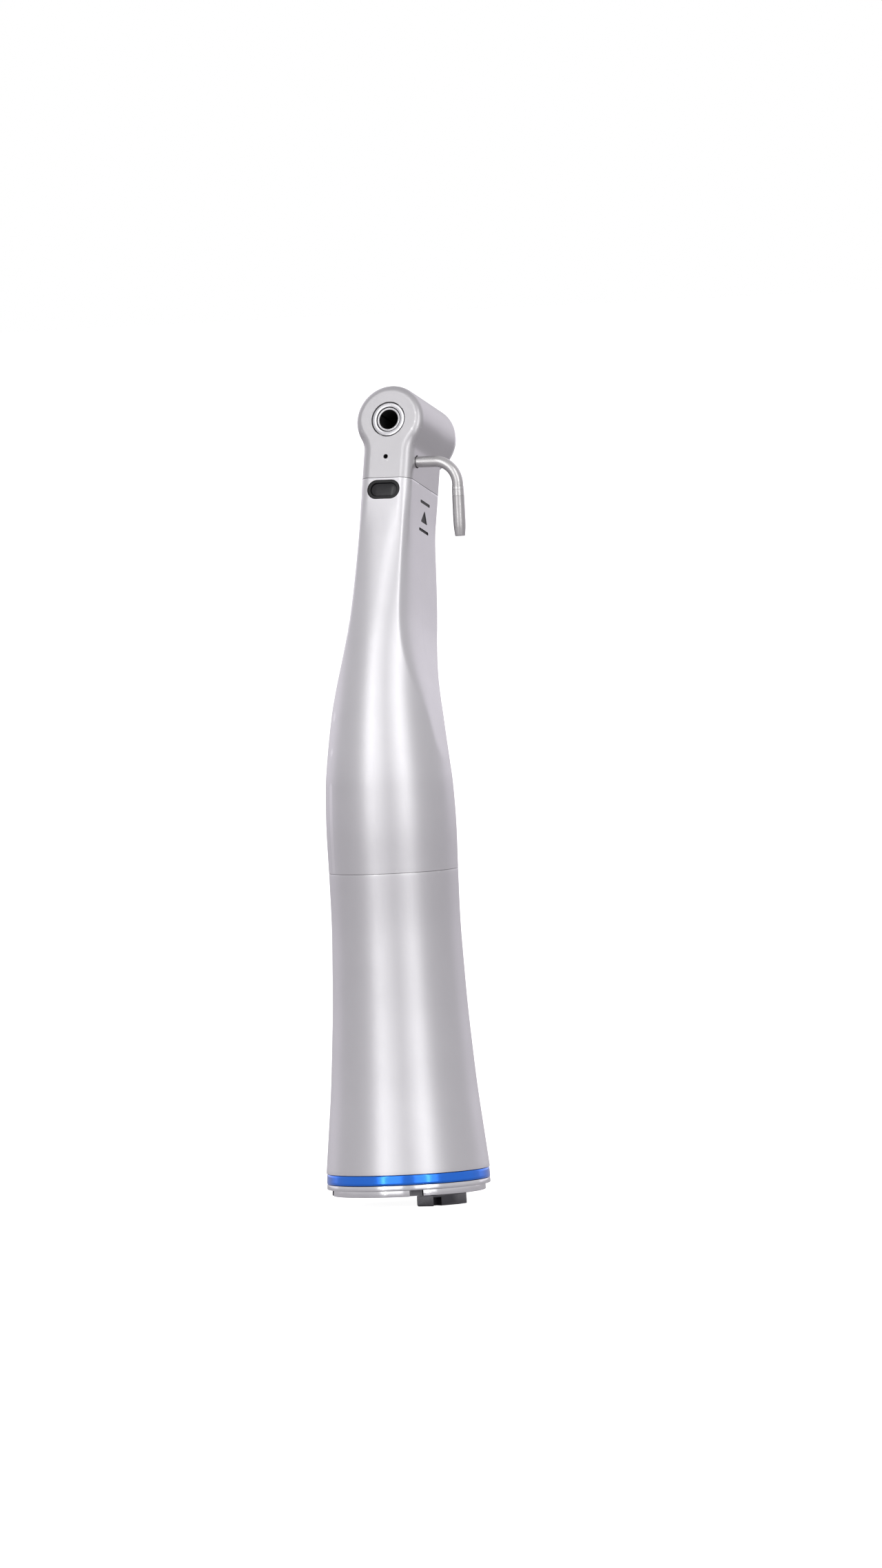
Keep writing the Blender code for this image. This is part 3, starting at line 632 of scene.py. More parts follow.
class Graph:
    """A geometry node tree with named size inputs."""

    def __init__(self, name: str) -> None:
        """Start a tree that takes and gives geometry."""
        self.tree = bpy.data.node_groups.new(name, "GeometryNodeTree")
        self.tree.interface.new_socket("Geometry", in_out="OUTPUT",
                                       socket_type="NodeSocketGeometry")
        self.tree.interface.new_socket("Geometry", in_out="INPUT",
                                       socket_type="NodeSocketGeometry")
        self.entry = self.tree.nodes.new("NodeGroupInput")
        self.exit = self.tree.nodes.new("NodeGroupOutput")
        self.sizes: dict[str, tuple[str, object]] = {}

    def add(self, kind: str, inputs: dict | None = None, **settings: object) -> bpy.types.Node:
        """Add a node.

        Args:
            kind: The node's type name.
            inputs: Numbers, output sockets or Values, by the input's name or number.
            settings: Properties set on the node itself.

        Returns:
            The new node.
        """
        node = self.tree.nodes.new(kind)
        for key, value in settings.items():
            setattr(node, key, value)
        for key, value in (inputs or {}).items():
            value = value.source if isinstance(value, Value) else value
            if isinstance(value, bpy.types.NodeSocket):
                self.tree.links.new(value, node.inputs[key])
            else:
                node.inputs[key].default_value = value
        return node

    def size(self, name: str, amount: float | int) -> Value:
        """Add a named input and the amount that the modifier sets it to."""
        kind = "NodeSocketInt" if isinstance(amount, int) else "NodeSocketFloat"
        socket = self.tree.interface.new_socket(name, in_out="INPUT", socket_type=kind)
        self.sizes[name] = (socket.identifier, amount)
        return Value(self, self.entry.outputs[name])

    def result(self, name: str, geometry: bpy.types.NodeSocket, material: bpy.types.Material,
               start: bpy.types.Object | None = None, sharp: float = 32.0) -> bpy.types.Object:
        """Close the tree, run it once and keep what it makes as a plain mesh.

        Args:
            name: Name of the piece.
            geometry: Output socket of the finished geometry.
            material: Material set on it.
            start: Object whose geometry the tree reads, or None for an empty mesh.
            sharp: Angle in degrees past which an edge is shaded sharp.

        Returns:
            The new object.
        """
        real = self.add("GeometryNodeRealizeInstances", {"Geometry": geometry})
        painted = self.add("GeometryNodeSetMaterial", {"Geometry": real.outputs["Geometry"],
                                                       "Material": material})
        self.tree.links.new(painted.outputs["Geometry"], self.exit.inputs["Geometry"])
        maker = start or bpy.data.objects.new(name + "_maker", bpy.data.meshes.new(name + "_maker"))
        if start is None:
            bpy.context.scene.collection.objects.link(maker)
        modifier = maker.modifiers.new("tree", "NODES")
        modifier.node_group = self.tree
        for identifier, amount in self.sizes.values():
            modifier[identifier] = amount
        bpy.context.view_layer.update()
        mesh = bpy.data.meshes.new_from_object(
            maker.evaluated_get(bpy.context.evaluated_depsgraph_get()))
        mesh.name = name
        mesh.shade_smooth()
        mesh.set_sharp_from_angle(angle=math.radians(sharp))
        bpy.data.objects.remove(maker)
        piece = bpy.data.objects.new(name, mesh)
        bpy.context.scene.collection.objects.link(piece)
        return piece

    def placed(self, geometry: bpy.types.NodeSocket, axes: Axes) -> bpy.types.NodeSocket:
        """Turn geometry drawn about +Z in millimetres into metres along a frame.

        Args:
            geometry: Output socket of geometry about the tree's own +Z.
            axes: Frame that it is moved to.

        Returns:
            Output socket of the moved geometry.
        """
        turn = Matrix((axes.x, axes.y, axes.z)).transposed().to_euler()
        move = self.add("GeometryNodeTransform", {"Geometry": geometry,
                                                  "Translation": axes.origin * MM,
                                                  "Rotation": turn, "Scale": (MM, MM, MM)})
        return move.outputs["Geometry"]


# ---- casings --------------------------------------------------------------------------------
@dataclass(frozen=True)
class RearCasing:
    """Flared rear sheath with its coloured band, flange, ring nut, lug and coupling sleeve."""

    flare: tuple[tuple[float, float], ...] = (
        (2.73, 10.0), (7.5, 9.5), (12.6, 8.98), (17.6, 8.6), (22.6, 8.27), (27.7, 8.05),
        (33.0, 7.88), (39.39, 7.89))
    bore_r: float = 6.35
    sleeve_r: float = 7.15
    band_z: tuple[float, float] = (1.50, 2.68)
    flange_z: tuple[float, float] = (0.80, 1.42)
    nut_r: float = 9.4
    nut_top: float = 0.75
    taper: float = 0.07
    notch_width: float = 1.7
    notch_start: float = -62.5
    lug_angle: float = -35.0

    def sheath(self, paint: Paintbox) -> bpy.types.Object:
        """Turn the flared sheath with its stepped bore."""
        rows = [(r, z) for z, r in flowing(list(self.flare), 150)]
        first, last = rows[0], rows[-1]
        wall = [(first[0] - 0.07, first[1]), (first[0] - 0.02, first[1] + 0.02)]
        wall += [(r, z) for r, z in rows if first[1] + 0.07 < z < last[1] - 0.04]
        wall += [(last[0] - 0.01, last[1] - 0.01), (last[0] - 0.03, last[1])]
        bore = eased([(self.bore_r, last[1], 0.05), (self.bore_r, 26.9),
                      (self.sleeve_r + 0.06, 26.0), (self.sleeve_r + 0.06, 3.6), (8.05, 3.3),
                      (8.05, first[1], 0.05)])
        piece = Shape().turn(wall + bore, REAR, 256).finish("rear_sheath_skin",
                                                            paint["satin_steel"])
        return replace_in_body(piece, "housing", "satin_steel", "rear_sheath")

    def band(self, paint: Paintbox) -> bpy.types.Object:
        """Turn the coloured band, slightly tapered, with fine turning marks round its face."""
        low, high = self.band_z
        face = [(8.05, high), (8.05, low), (REAR_R - 0.08, low)]
        for step in range(25):
            share = step / 24
            crown = 0.06 * (2 * share - 1) ** 8 + self.taper * (high - low) * share
            face.append((REAR_R - crown - (0.001 if step % 2 else 0.0),
                         low + (high - low) * share))
        face.append((REAR_R - 0.17, high))
        piece = Shape().turn(face, REAR, 256).finish("colour_band_ring", paint["blue_band"])
        return replace_in_body(piece, "housing", "blue_band", "colour_band")

    def flange(self, paint: Paintbox) -> bpy.types.Object:
        """Turn the thin polished flange behind the band."""
        low, high = self.flange_z
        outline = eased([(8.05, high), (8.05, low), (REAR_R, low, 0.1),
                         (REAR_R - self.taper * (high - low), high, 0.04)])
        piece = Shape().turn(outline, REAR, 256).finish("flange_ring", paint["polished_steel"])
        return replace_in_body(piece, "housing", "polished_steel", "rear_flange_ring")

    def nut(self, paint: Paintbox) -> bpy.types.Object:
        """Turn the ring nut and mill its spanner notches, whose faces are lined with the dark lug
        finish as painted shade.
        """
        inner = self.sleeve_r + 0.06
        outline = eased([(6.9, 0.0, 0.12), (self.nut_r, 0.0, 0.1),
                         (self.nut_r - self.taper * self.nut_top, self.nut_top),
                         (8.0, self.nut_top), (8.0, 3.2), (inner, 3.2), (inner, 1.0), (6.9, 0.75)])
        piece = Shape().turn(outline, REAR, 256).finish("ring_nut_body", paint["polished_steel"])
        half = self.notch_width / 2
        cutters = []
        for i in range(4):
            axes = REAR.turned(self.notch_start + 90 * i)
            outline = eased([(8.45, -half, 0.2), (11, -half), (11, half), (8.45, half, 0.2)])
            # Painted shade: the notch faces take the dark lug finish.
            cutters.append(Shape().prism(outline, axes, -1.0, 1.2).finish(
                "notch_cutter", paint["dark_lug"]))
        return replace_in_body(carve(piece, cutters), "housing", "polished_steel", "ring_nut")

    def lug(self, paint: Paintbox) -> bpy.types.Object:
        """Build the bevelled alignment lug with its slot."""
        axes = REAR.turned(self.lug_angle)
        lower = eased([(7.0, -3.3, 0.03), (7.2, -3.52, 0.08), (9.1, -2.55, 0.08), (9.14, 1.2, 0.05),
                       (8.4, 2.85, 0.05), (7.0, 2.85, 0.15)])
        upper = eased([(7.0, -3.4, 0.03), (7.2, -3.62, 0.08), (9.14, -2.6, 0.08), (9.14, 1.2, 0.05),
                       (8.4, 2.85, 0.05), (7.0, 2.85, 0.15)])
        rings = [[axes.point(x * (1 - k) + 8.1 * k, y * (1 - k), z) for x, y in ring]
                 for ring, k, z in ((lower, 0.02, -1.33), (lower, 0.0, -1.29), (upper, 0.0, -1.15),
                                    (upper, 0.0, -0.05))]
        piece = Shape().loft(rings).finish("alignment_lug_block", paint["dark_lug"], sharp=25)
        slot = Shape().prism([(8.0, -2.45), (10, -2.45), (10, -1.3), (8.0, -1.3)], axes, -2.0,
                             -0.25).finish("slot_cutter", paint["dark_lug"])
        return replace_in_body(carve(piece, [slot], 25), "housing", "dark_lug", "alignment_lug")

    def sleeve(self, paint: Paintbox) -> bpy.types.Object:
        """Turn the lining of the motor bore, with its snap groove."""
        outline = eased([(6.85, 1.05, 0.08), (self.sleeve_r, 1.05), (self.sleeve_r, 25.5),
                         (3.0, 25.5), (3.0, 24.5), (6.45, 24.5, 0.3), (6.45, 7.6, 0.1),
                         (6.75, 7.3, 0.1), (6.75, 6.3, 0.1), (6.45, 6.0, 0.1), (6.45, 1.6)])
        piece = Shape().turn(outline, REAR, 192).finish("coupling_lining", paint["inner_steel"])
        return replace_in_body(piece, "housing", "inner_steel", "coupling_sleeve")

    def build(self, paint: Paintbox) -> None:
        """Build every piece of the rear casing."""
        self.sheath(paint)
        self.band(paint)
        self.flange(paint)
        self.nut(paint)
        self.lug(paint)
        self.sleeve(paint)


@dataclass(frozen=True)
class NeckCasing:
    """Bent neck, round at the rear and flat-sided at the head, with its side mark.

    A station holds the distance along the spine, the half width and half depth of the round body,
    its squareness, the half width between the side flats and the softness of their corners. The
    neck is deeper behind its spine round fullest_at, and turns into a block with round corners
    from block_from on.
    """

    stations: tuple[tuple[float, ...], ...] = (
        (39.45, 7.90, 7.90, 2.0, 9.00, 0.1), (45.0, 7.95, 7.95, 2.0, 9.00, 0.1),
        (50.0, 7.77, 7.77, 2.0, 8.20, 0.1), (52.5, 7.52, 7.57, 2.0, 7.62, 0.12),
        (55.0, 7.23, 7.30, 2.0, 7.05, 0.14), (58.0, 6.85, 7.00, 2.0, 6.45, 0.22),
        (61.0, 6.47, 6.70, 2.0, 5.78, 0.7), (64.0, 6.22, 6.45, 2.0, 5.05, 1.4),
        (67.0, 6.00, 6.25, 2.05, 4.42, 1.9), (70.0, 5.80, 6.05, 2.15, 4.00, 2.1),
        (75.0, 5.50, 5.75, 2.4, 3.65, 2.0), (80.0, 5.15, 5.50, 2.9, 3.42, 1.8),
        (86.8, 4.60, 5.30, 4.0, 3.30, 1.8))
    around: int = 240
    back_depth: float = 1.1
    back_corner: float = 0.45
    fullest_at: float = 70.5
    full_reach: float = 13.5
    block_from: float = 79.0
    block_left: float = 1.2
    half_width: float = 3.3
    corner: float = 1.35
    window_s: float = 25.95
    window_half: tuple[float, float] = (2.13, 1.2)
    mark_s: float = 23.7

    def end(self) -> float:
        """Distance along the spine of the head end."""
        bend_r = BEND_TANGENT / math.tan(NECK_TILT / 2)
        return ELBOW_Z - 2 * BEND_TANGENT + bend_r * NECK_TILT + SEAM_S - SEAM_GAP

    @staticmethod
    def spine(q: float) -> tuple[Vector, float]:
        """Centre and lean of the neck at a distance along its bent spine."""
        bend_r = BEND_TANGENT / math.tan(NECK_TILT / 2)
        start = ELBOW_Z - BEND_TANGENT
        if q <= start:
            return Vector((0, 0, q)), 0.0
        arc = bend_r * NECK_TILT
        if q <= start + arc:
            lean = (q - start) / bend_r
            return Vector((0, bend_r * (1 - math.cos(lean)),
                           start + bend_r * math.sin(lean))), lean
        return NECK.point(0, 0, BEND_TANGENT + q - start - arc), NECK_TILT

    def rounded_reach(self, across: float, front: float) -> float:
        """Distance to the outline of a block with round corners, in a given direction.

        Args:
            across: Sideways share of the direction, 0 or more.
            front: Forward share of the direction, 0 or more.

        Returns:
            The distance in millimetres.
        """
        half_t, r = -FRONT_T, self.corner
        if front * self.half_width <= across * (half_t - r):
            return self.half_width / across
        if across * half_t <= front * (self.half_width - r):
            return half_t / front
        cx, ct = self.half_width - r, half_t - r
        along = cx * across + ct * front
        return along + math.sqrt(max(0.0, along * along - cx * cx - ct * ct + r * r))

    def section(self, row: tuple[float, ...], inset: float) -> list[Vector]:
        """One ring of the neck, moved in by a wall thickness.

        Args:
            row: Distance along the spine, half width, half depth, squareness, half width between
                the side flats and softness of their corners.
            inset: Distance that the ring is moved in.

        Returns:
            The ring's points.
        """
        q, half_x, half_t, power, flat, soft = row
        center, lean = self.spine(q)
        block = (q - self.block_from) / (self.end() - self.block_left - self.block_from)
        block = min(1.0, max(0.0, block))
        block = block * block * (3 - 2 * block)
        fullness = max(0.0, 1 - ((q - self.fullest_at) / self.full_reach) ** 2) ** 2
        ring = []
        for i in range(self.around):
            angle = TAU * (i + 0.5) / self.around
            across, front = abs(math.sin(angle)), abs(math.cos(angle))
            behind = min(1.0, max(0.0, -2 * math.cos(angle)))
            behind *= fullness * behind * (3 - 2 * behind)
            depth = half_t + (self.back_depth * fullness if math.cos(angle) < 0 else 0.0)
            body = ((across / half_x) ** power + (front / depth) ** power) ** (-1 / power)
            side = flat / max(across, 1e-6)
            turn = soft + (min(soft, self.back_corner) - soft) * behind
            near = max(turn - abs(body - side), 0.0) / turn
            radius = min(body, side) - near * near * turn / 4
            radius += (self.rounded_reach(across, front) - radius) * block
            x, t = (radius - inset) * math.sin(angle), (inset - radius) * math.cos(angle)
            ring.append(center + Vector((x, t * math.cos(lean), -t * math.sin(lean))))
        return ring

    def shell(self, paint: Paintbox) -> bpy.types.Object:
        """Skin the neck inside and out, and cut the window opening and the side mark."""
        start, end = SEAM_Z + 0.02, self.end()
        rows = flowing(list(self.stations), 170)
        rows = [row for row in rows if start + 0.05 < row[0] < end - 0.05]

        def at(q: float) -> tuple[float, ...]:
            """Outline values at a distance along the spine."""
            row = min(rows, key=lambda entry: abs(entry[0] - q))
            return (q, *row[1:])

        rings = [self.section(at(start), 0.03), self.section(at(start + 0.01), 0.01)]
        rings += [self.section(row, 0.0) for row in rows]
        rings += [self.section(at(end - 0.015), 0.0), self.section(at(end), 0.015)]
        wall = [(end, 0.62), (86.0, 0.62), (76.0, 0.66), (68.0, 0.8), (62.0, 0.9), (56.0, 0.95),
                (51.0, 0.95), (49.0, 1.3), (44.0, 1.3), (start, 1.3)]
        rings += [self.section(at(q), inset) for q, inset in wall]
        piece = Shape().loft(rings, closed=True).finish("neck_shell", paint["satin_steel"],
                                                        sharp=40)
        window = Shape().prism(stadium(*self.window_half), window_axes(self.window_s), -1.2,
                               0.5).finish("window_cutter", paint["black_frame"])
        carve(piece, [window, *self.mark_cutters(paint)], 40)
        return replace_in_body(piece, "housing", "satin_steel", "neck_housing")

    def mark_cutters(self, paint: Paintbox) -> list[bpy.types.Object]:
        """Shallow grooves of the side mark: an arrow head between two bars."""
        flat = Axes(NECK.point(3.36, 0.3, self.mark_s), ACROSS, ALONG, SIDE)
        bars = [eased([(-1.5, s - 0.19, 0.15), (1.5, s - 0.19, 0.15), (1.5, s + 0.19, 0.15),
                       (-1.5, s + 0.19, 0.15)], 4) for s in (-1.75, 1.75)]
        arrow = eased([(-1.05, -0.75, 0.12), (1.05, -0.75, 0.12), (0.0, 0.85, 0.12)], 4)
        return [Shape().prism(outline, flat, -0.12, 0.8).finish("mark_cutter",
                                                                paint["engraving_and_hole_shade"])
                for outline in (*bars, arrow)]

    def build(self, paint: Paintbox) -> None:
        """Build the neck."""
        self.shell(paint)


def window_axes(along: float) -> Axes:
    """Frame on the neck's front face: x sideways, y up the neck, z out of the face."""
    return Axes(NECK.point(0, FRONT_T, along), SIDE, ALONG, -ACROSS)


def stadium(half_length: float, half_height: float, steps: int = 24) -> list[tuple[float, float]]:
    """Oblong outline with round ends.

    Args:
        half_length: Half of its length.
        half_height: Half of its height, which is the radius of its ends.
        steps: Steps round each end.

    Returns:
        The outline's points.
    """
    straight = half_length - half_height
    outline = []
    for side in (1, -1):
        for i in range(steps + 1):
            angle = side * (math.pi * i / steps - math.pi / 2)
            outline.append((side * (straight + half_height * math.cos(angle)),
                            half_height * math.sin(angle)))
    return outline


@dataclass(frozen=True)
class HeadCasing:
    """Barrel that flows into the neck, with its cap and push button.

    The body is grown with some stock on its back and on its seam, and both are cut flat.
    """

    radius: float = 4.35
    front_round: float = 0.85
    stub_round: float = 1.35
    half_width: float = 3.3
    fillet: float = 2.5
    back_t: float = 5.9
    voxel: float = 0.085
    stock: float = 0.3
    mouth_r: float = 2.17
    bore_r: float = 3.4
    neck_bore_r: float = 2.65

    def body(self, paint: Paintbox) -> bpy.types.Object:
        """Grow the barrel and its stub as one smooth body, from distances to its outline."""
        graph = Graph("head_body")
        radius, half = graph.size("barrel radius", self.radius), graph.size("stub half width",
                                                                            self.half_width)
        fillet = graph.size("fillet radius", self.fillet)
        front_r, stub_r = graph.size("front rounding", self.front_round), graph.size(
            "stub rounding", self.stub_round)
        front, back = graph.size("front depth", -FRONT_T), graph.size("barrel back", self.back_t)
        reach = math.sqrt((self.radius + self.fillet) ** 2
                          - (self.half_width + self.fillet) ** 2)
        drop = graph.size("fillet centre below the spindle axis", reach)
        seam = graph.size("stock below the spindle axis", HEAD_S - SEAM_S + self.stock)
        place = graph.add("GeometryNodeInputPosition")
        parts = graph.add("ShaderNodeSeparateXYZ", {"Vector": place.outputs[0]})
        x = Value(graph, parts.outputs["X"]).size()
        t, s = Value(graph, parts.outputs["Y"]), Value(graph, parts.outputs["Z"])

        barrel = x.with_side(s) - radius
        strip = x - half
        center_x = half + fillet
        hollow = fillet - (x - center_x).with_side(s + drop)
        turned_in = (center_x * (s + drop) + drop * (x - center_x)).above(0.0)
        past = (s + drop).above(0.0)
        inside_center = (x - center_x).above(0.0)
        near_strip = past.chosen(hollow, strip)
        plan = turned_in.chosen(barrel, near_strip)
        plan = inside_center.chosen(barrel.highest(strip), plan)
        climb = ((s + drop) * (1 / reach)).highest(0.0).lowest(1.0)
        rounding = stub_r + (front_r - stub_r) * climb

        def slab(outline: Value, depth: Value, corner: object) -> Value:
            """Distance to an outline drawn out to a depth, with a rounded corner."""
            a, b = outline + corner, depth + corner
            out = a.highest(0.0).with_side(b.highest(0.0))
            return a.highest(b).lowest(0.0) + out - corner

        forward = slab(plan, t * -1.0 - front, rounding)
        stub_back = slab(plan, t - front, stub_r)
        barrel_back = slab(barrel, t - back - self.stock, 0.06)
        lower = (s * -0.33).highest(0.0).lowest(1.0)
        further = (t * 0.5).highest(0.0).lowest(1.0)
        behind = stub_back.blended(barrel_back, lower * further * 0.5 + 0.01)
        whole = t.above(0.0).chosen(behind, forward)
        whole = slab(whole, (s + seam) * -1.0, 0.06)
        margin = 3 * self.voxel
        low = (-self.radius - margin, FRONT_T - margin,
               -(HEAD_S - SEAM_S) - self.stock - margin)
        high = (self.radius + margin, self.back_t + self.stock + margin, self.radius + margin)
        cube = graph.add("GeometryNodeVolumeCube", {
            "Density": whole * -1.0, "Background": -1.0, "Min": low, "Max": high,
            "Resolution X": round((high[0] - low[0]) / self.voxel),
            "Resolution Y": round((high[1] - low[1]) / self.voxel),
            "Resolution Z": round((high[2] - low[2]) / self.voxel)})
        skin = graph.add("GeometryNodeVolumeToMesh", {"Volume": cube.outputs["Volume"],
                                                      "Threshold": 0.0, "Adaptivity": 0.0})
        axes = Axes(HEAD.origin, SIDE, ACROSS, ALONG)
        piece = graph.result("head_shell", graph.placed(skin.outputs["Mesh"], axes),
                             paint["head_satin"], sharp=60)
        LOG.info("head body before drilling: %d faces", len(piece.data.polygons))
        return piece

    def cutters(self, paint: Paintbox) -> list[bpy.types.Object]:
        """End faces, spindle bore, neck bore, spray drilling and irrigation socket; the spindle
        bore, spray drilling and socket are lined with near-black painted shade.
        """
        # dark: painted shade for the insides of the spindle bore, spray drilling and socket.
        steel, dark = paint["head_satin"], paint["engraving_and_hole_shade"]
        mouth = [(0, FRONT_T - 1), (self.mouth_r + 1.02, FRONT_T - 1),
                 (self.mouth_r + 0.02, FRONT_T + 0.005), (self.mouth_r, FRONT_T + 0.03),
                 (self.mouth_r, FRONT_T + 0.55), (self.bore_r, FRONT_T + 0.55),
                 (self.bore_r, self.back_t + 1), (0, self.back_t + 1)]
        neck_bore = [(0, SEAM_S - 1), (self.neck_bore_r, SEAM_S - 1),
                     (self.neck_bore_r, HEAD_S - 1), (0, HEAD_S - 1)]
        spray = Axes(NECK.point(0, FRONT_T, 30.1), SIDE, ALONG, -ACROSS)
        socket = Axes(NECK.point(self.half_width, -3.1, 29.85), ACROSS, ALONG, SIDE)
        return [
            Shape().turn(mouth, HEAD, 192).finish("bore_cutter", dark),
            Shape().turn(neck_bore, NECK, 96).finish("neck_bore_cutter", steel),
            Shape().turn([(0, -2.6), (0.27, -2.6), (0.27, -0.03), (0.33, 0.03), (0.33, 1.0),
                          (0, 1.0)], spray, 32).finish("spray_cutter", dark),
            Shape().turn([(0, -3.5), (0.4, -3.5), (0.4, -1.1), (0.84, -1.1), (0.84, -0.25),
                          (0.77, -0.2), (0.77, -0.03), (0.83, 0.03), (0.83, 1.0), (0, 1.0)],
                         socket, 48).finish("socket_cutter", dark),
            Shape().turn([(0, SEAM_S - 2), (12, SEAM_S - 2), (12, SEAM_S + SEAM_GAP),
                          (0, SEAM_S + SEAM_GAP)], NECK, 48).finish("seam_cutter", steel),
            Shape().turn([(0, self.back_t), (8, self.back_t), (8, self.back_t + 2),
                          (0, self.back_t + 2)], HEAD, 48).finish("back_cutter", steel)]

    def cap(self, paint: Paintbox) -> bpy.types.Object:
        """Turn the rear cap with its rounded shoulder and grip groove."""
        outline = eased([(3.0, 5.45), (3.32, 5.45), (3.32, 5.93), (self.radius, 5.93, 0.015),
                         (self.radius, 6.6, 0.48), (2.6, 6.6, 0.08), (2.6, 6.3), (3.0, 6.3)], 8)
        piece = Shape().turn(outline, HEAD, 192).finish("head_cap_ring", paint["head_polish"])
        return replace_in_body(piece, "housing", "satin_steel", "head_cap")

    def button(self, paint: Paintbox) -> bpy.types.Object:
        """Turn the domed push button with two fine grip rings."""
        outline = [(0, 5.4), (0.8, 5.4), (0.8, 6.0), (2.9, 6.0), (2.9, 6.25), (2.5, 6.25)]
        for i in range(49):
            turn = math.pi / 2 * i / 48
            radius = 2.5 * math.cos(turn) ** 0.55
            height = 6.75 + 1.0 * math.sin(turn) ** 1.15
            groove = sum(0.05 * math.exp(-((radius - ring) / 0.05) ** 2) for ring in (1.95, 1.6))
            outline.append((radius, height - groove) if i < 48 else (0.0, height))
        piece = Shape().turn(outline, HEAD, 160).finish("button_dome", paint["head_polish"])
        return replace_in_body(piece, "push_button", "satin_steel", "push_button")

    def build(self, paint: Paintbox) -> None:
        """Build the head with its cap and button."""
        piece = carve(self.body(paint), self.cutters(paint), 40)
        replace_in_body(piece, "housing", "satin_steel", "head_housing")
        self.cap(paint)
        self.button(paint)


# ---- inside the head ------------------------------------------------------------------------
@dataclass(frozen=True)
class Chuck:
    """Turning spindle with its front ring and the three-jaw collet that grips the bur."""

    ring_r: float = 2.09
    mouth_r: float = 1.55
    spindle_r: float = 1.75
    collet_r: float = 1.48
    bur_r: float = 1.2
    lip: float = 0.16
    slot_width: float = 0.24

    def spindle(self, paint: Paintbox) -> bpy.types.Object:
        """Turn the spindle with its rolled front ring and its bore lined with painted shade."""
        front = FRONT_T + 0.02
        outline = eased([(self.mouth_r, front, 0.09), (self.ring_r, front, 0.11),
                         (self.ring_r, -4.72), (self.spindle_r, -4.72), (self.spindle_r, 4.75),
                         (0, 4.75), (0, 3.0), (self.mouth_r, 2.6)])
        piece = Shape().turn(outline, HEAD, 160).finish("spindle_body", paint["head_polish"])
        carve(piece, [self.shade_lined_bore(paint, self.mouth_r + 0.02, 3.05)])
        return replace_in_body(piece, "spindle_line", "polished_steel", "spindle")

    def shade_lined_bore(self, paint: Paintbox, radius: float, end: float) -> bpy.types.Object:
        """Cutter that lines the bore behind the bright front lip with painted shade: a near-black
        finish for the shade deep inside it.

        Args:
            paint: The finishes.
            radius: Radius of the bore.
            end: Where the bore stops along the head's axis.

        Returns:
            The cutter for it.
        """
        start = FRONT_T + self.lip
        outline = [(0, start), (radius, start), (radius, end), (0, end)]
        return Shape().turn(outline, HEAD, 128).finish("shade_lined_bore_cutter", paint["painted_bore_shade"])

    def collet(self, paint: Paintbox) -> bpy.types.Object:
        """Turn the collet and saw its three slots behind the lip; the slots and the bore are lined
        with painted shade.
        """
        outline = eased([(self.bur_r, FRONT_T + 0.1, 0.1), (self.collet_r, FRONT_T + 0.1, 0.06),
                         (self.collet_r, 2.0), (self.bur_r, 2.0)])
        piece = Shape().turn(outline, HEAD, 128).finish("collet_body", paint["inner_steel"])
        half = self.slot_width / 2
        slot = [(0.5, -half), (2, -half), (2, half), (0.5, half)]
        cutters = [Shape().prism(slot, HEAD.turned(90 + 120 * i), FRONT_T + 0.35,
                                 -0.5).finish("saw_cutter", paint["painted_bore_shade"])
                   for i in range(3)]
        cutters.append(self.shade_lined_bore(paint, self.bur_r + 0.03, 2.5))
        return replace_in_body(carve(piece, cutters), "spindle_line", "inner_steel",
                               "chuck_collet")

    def build(self, paint: Paintbox) -> None:
        """Build the spindle and the collet."""
        self.spindle(paint)
        self.collet(paint)


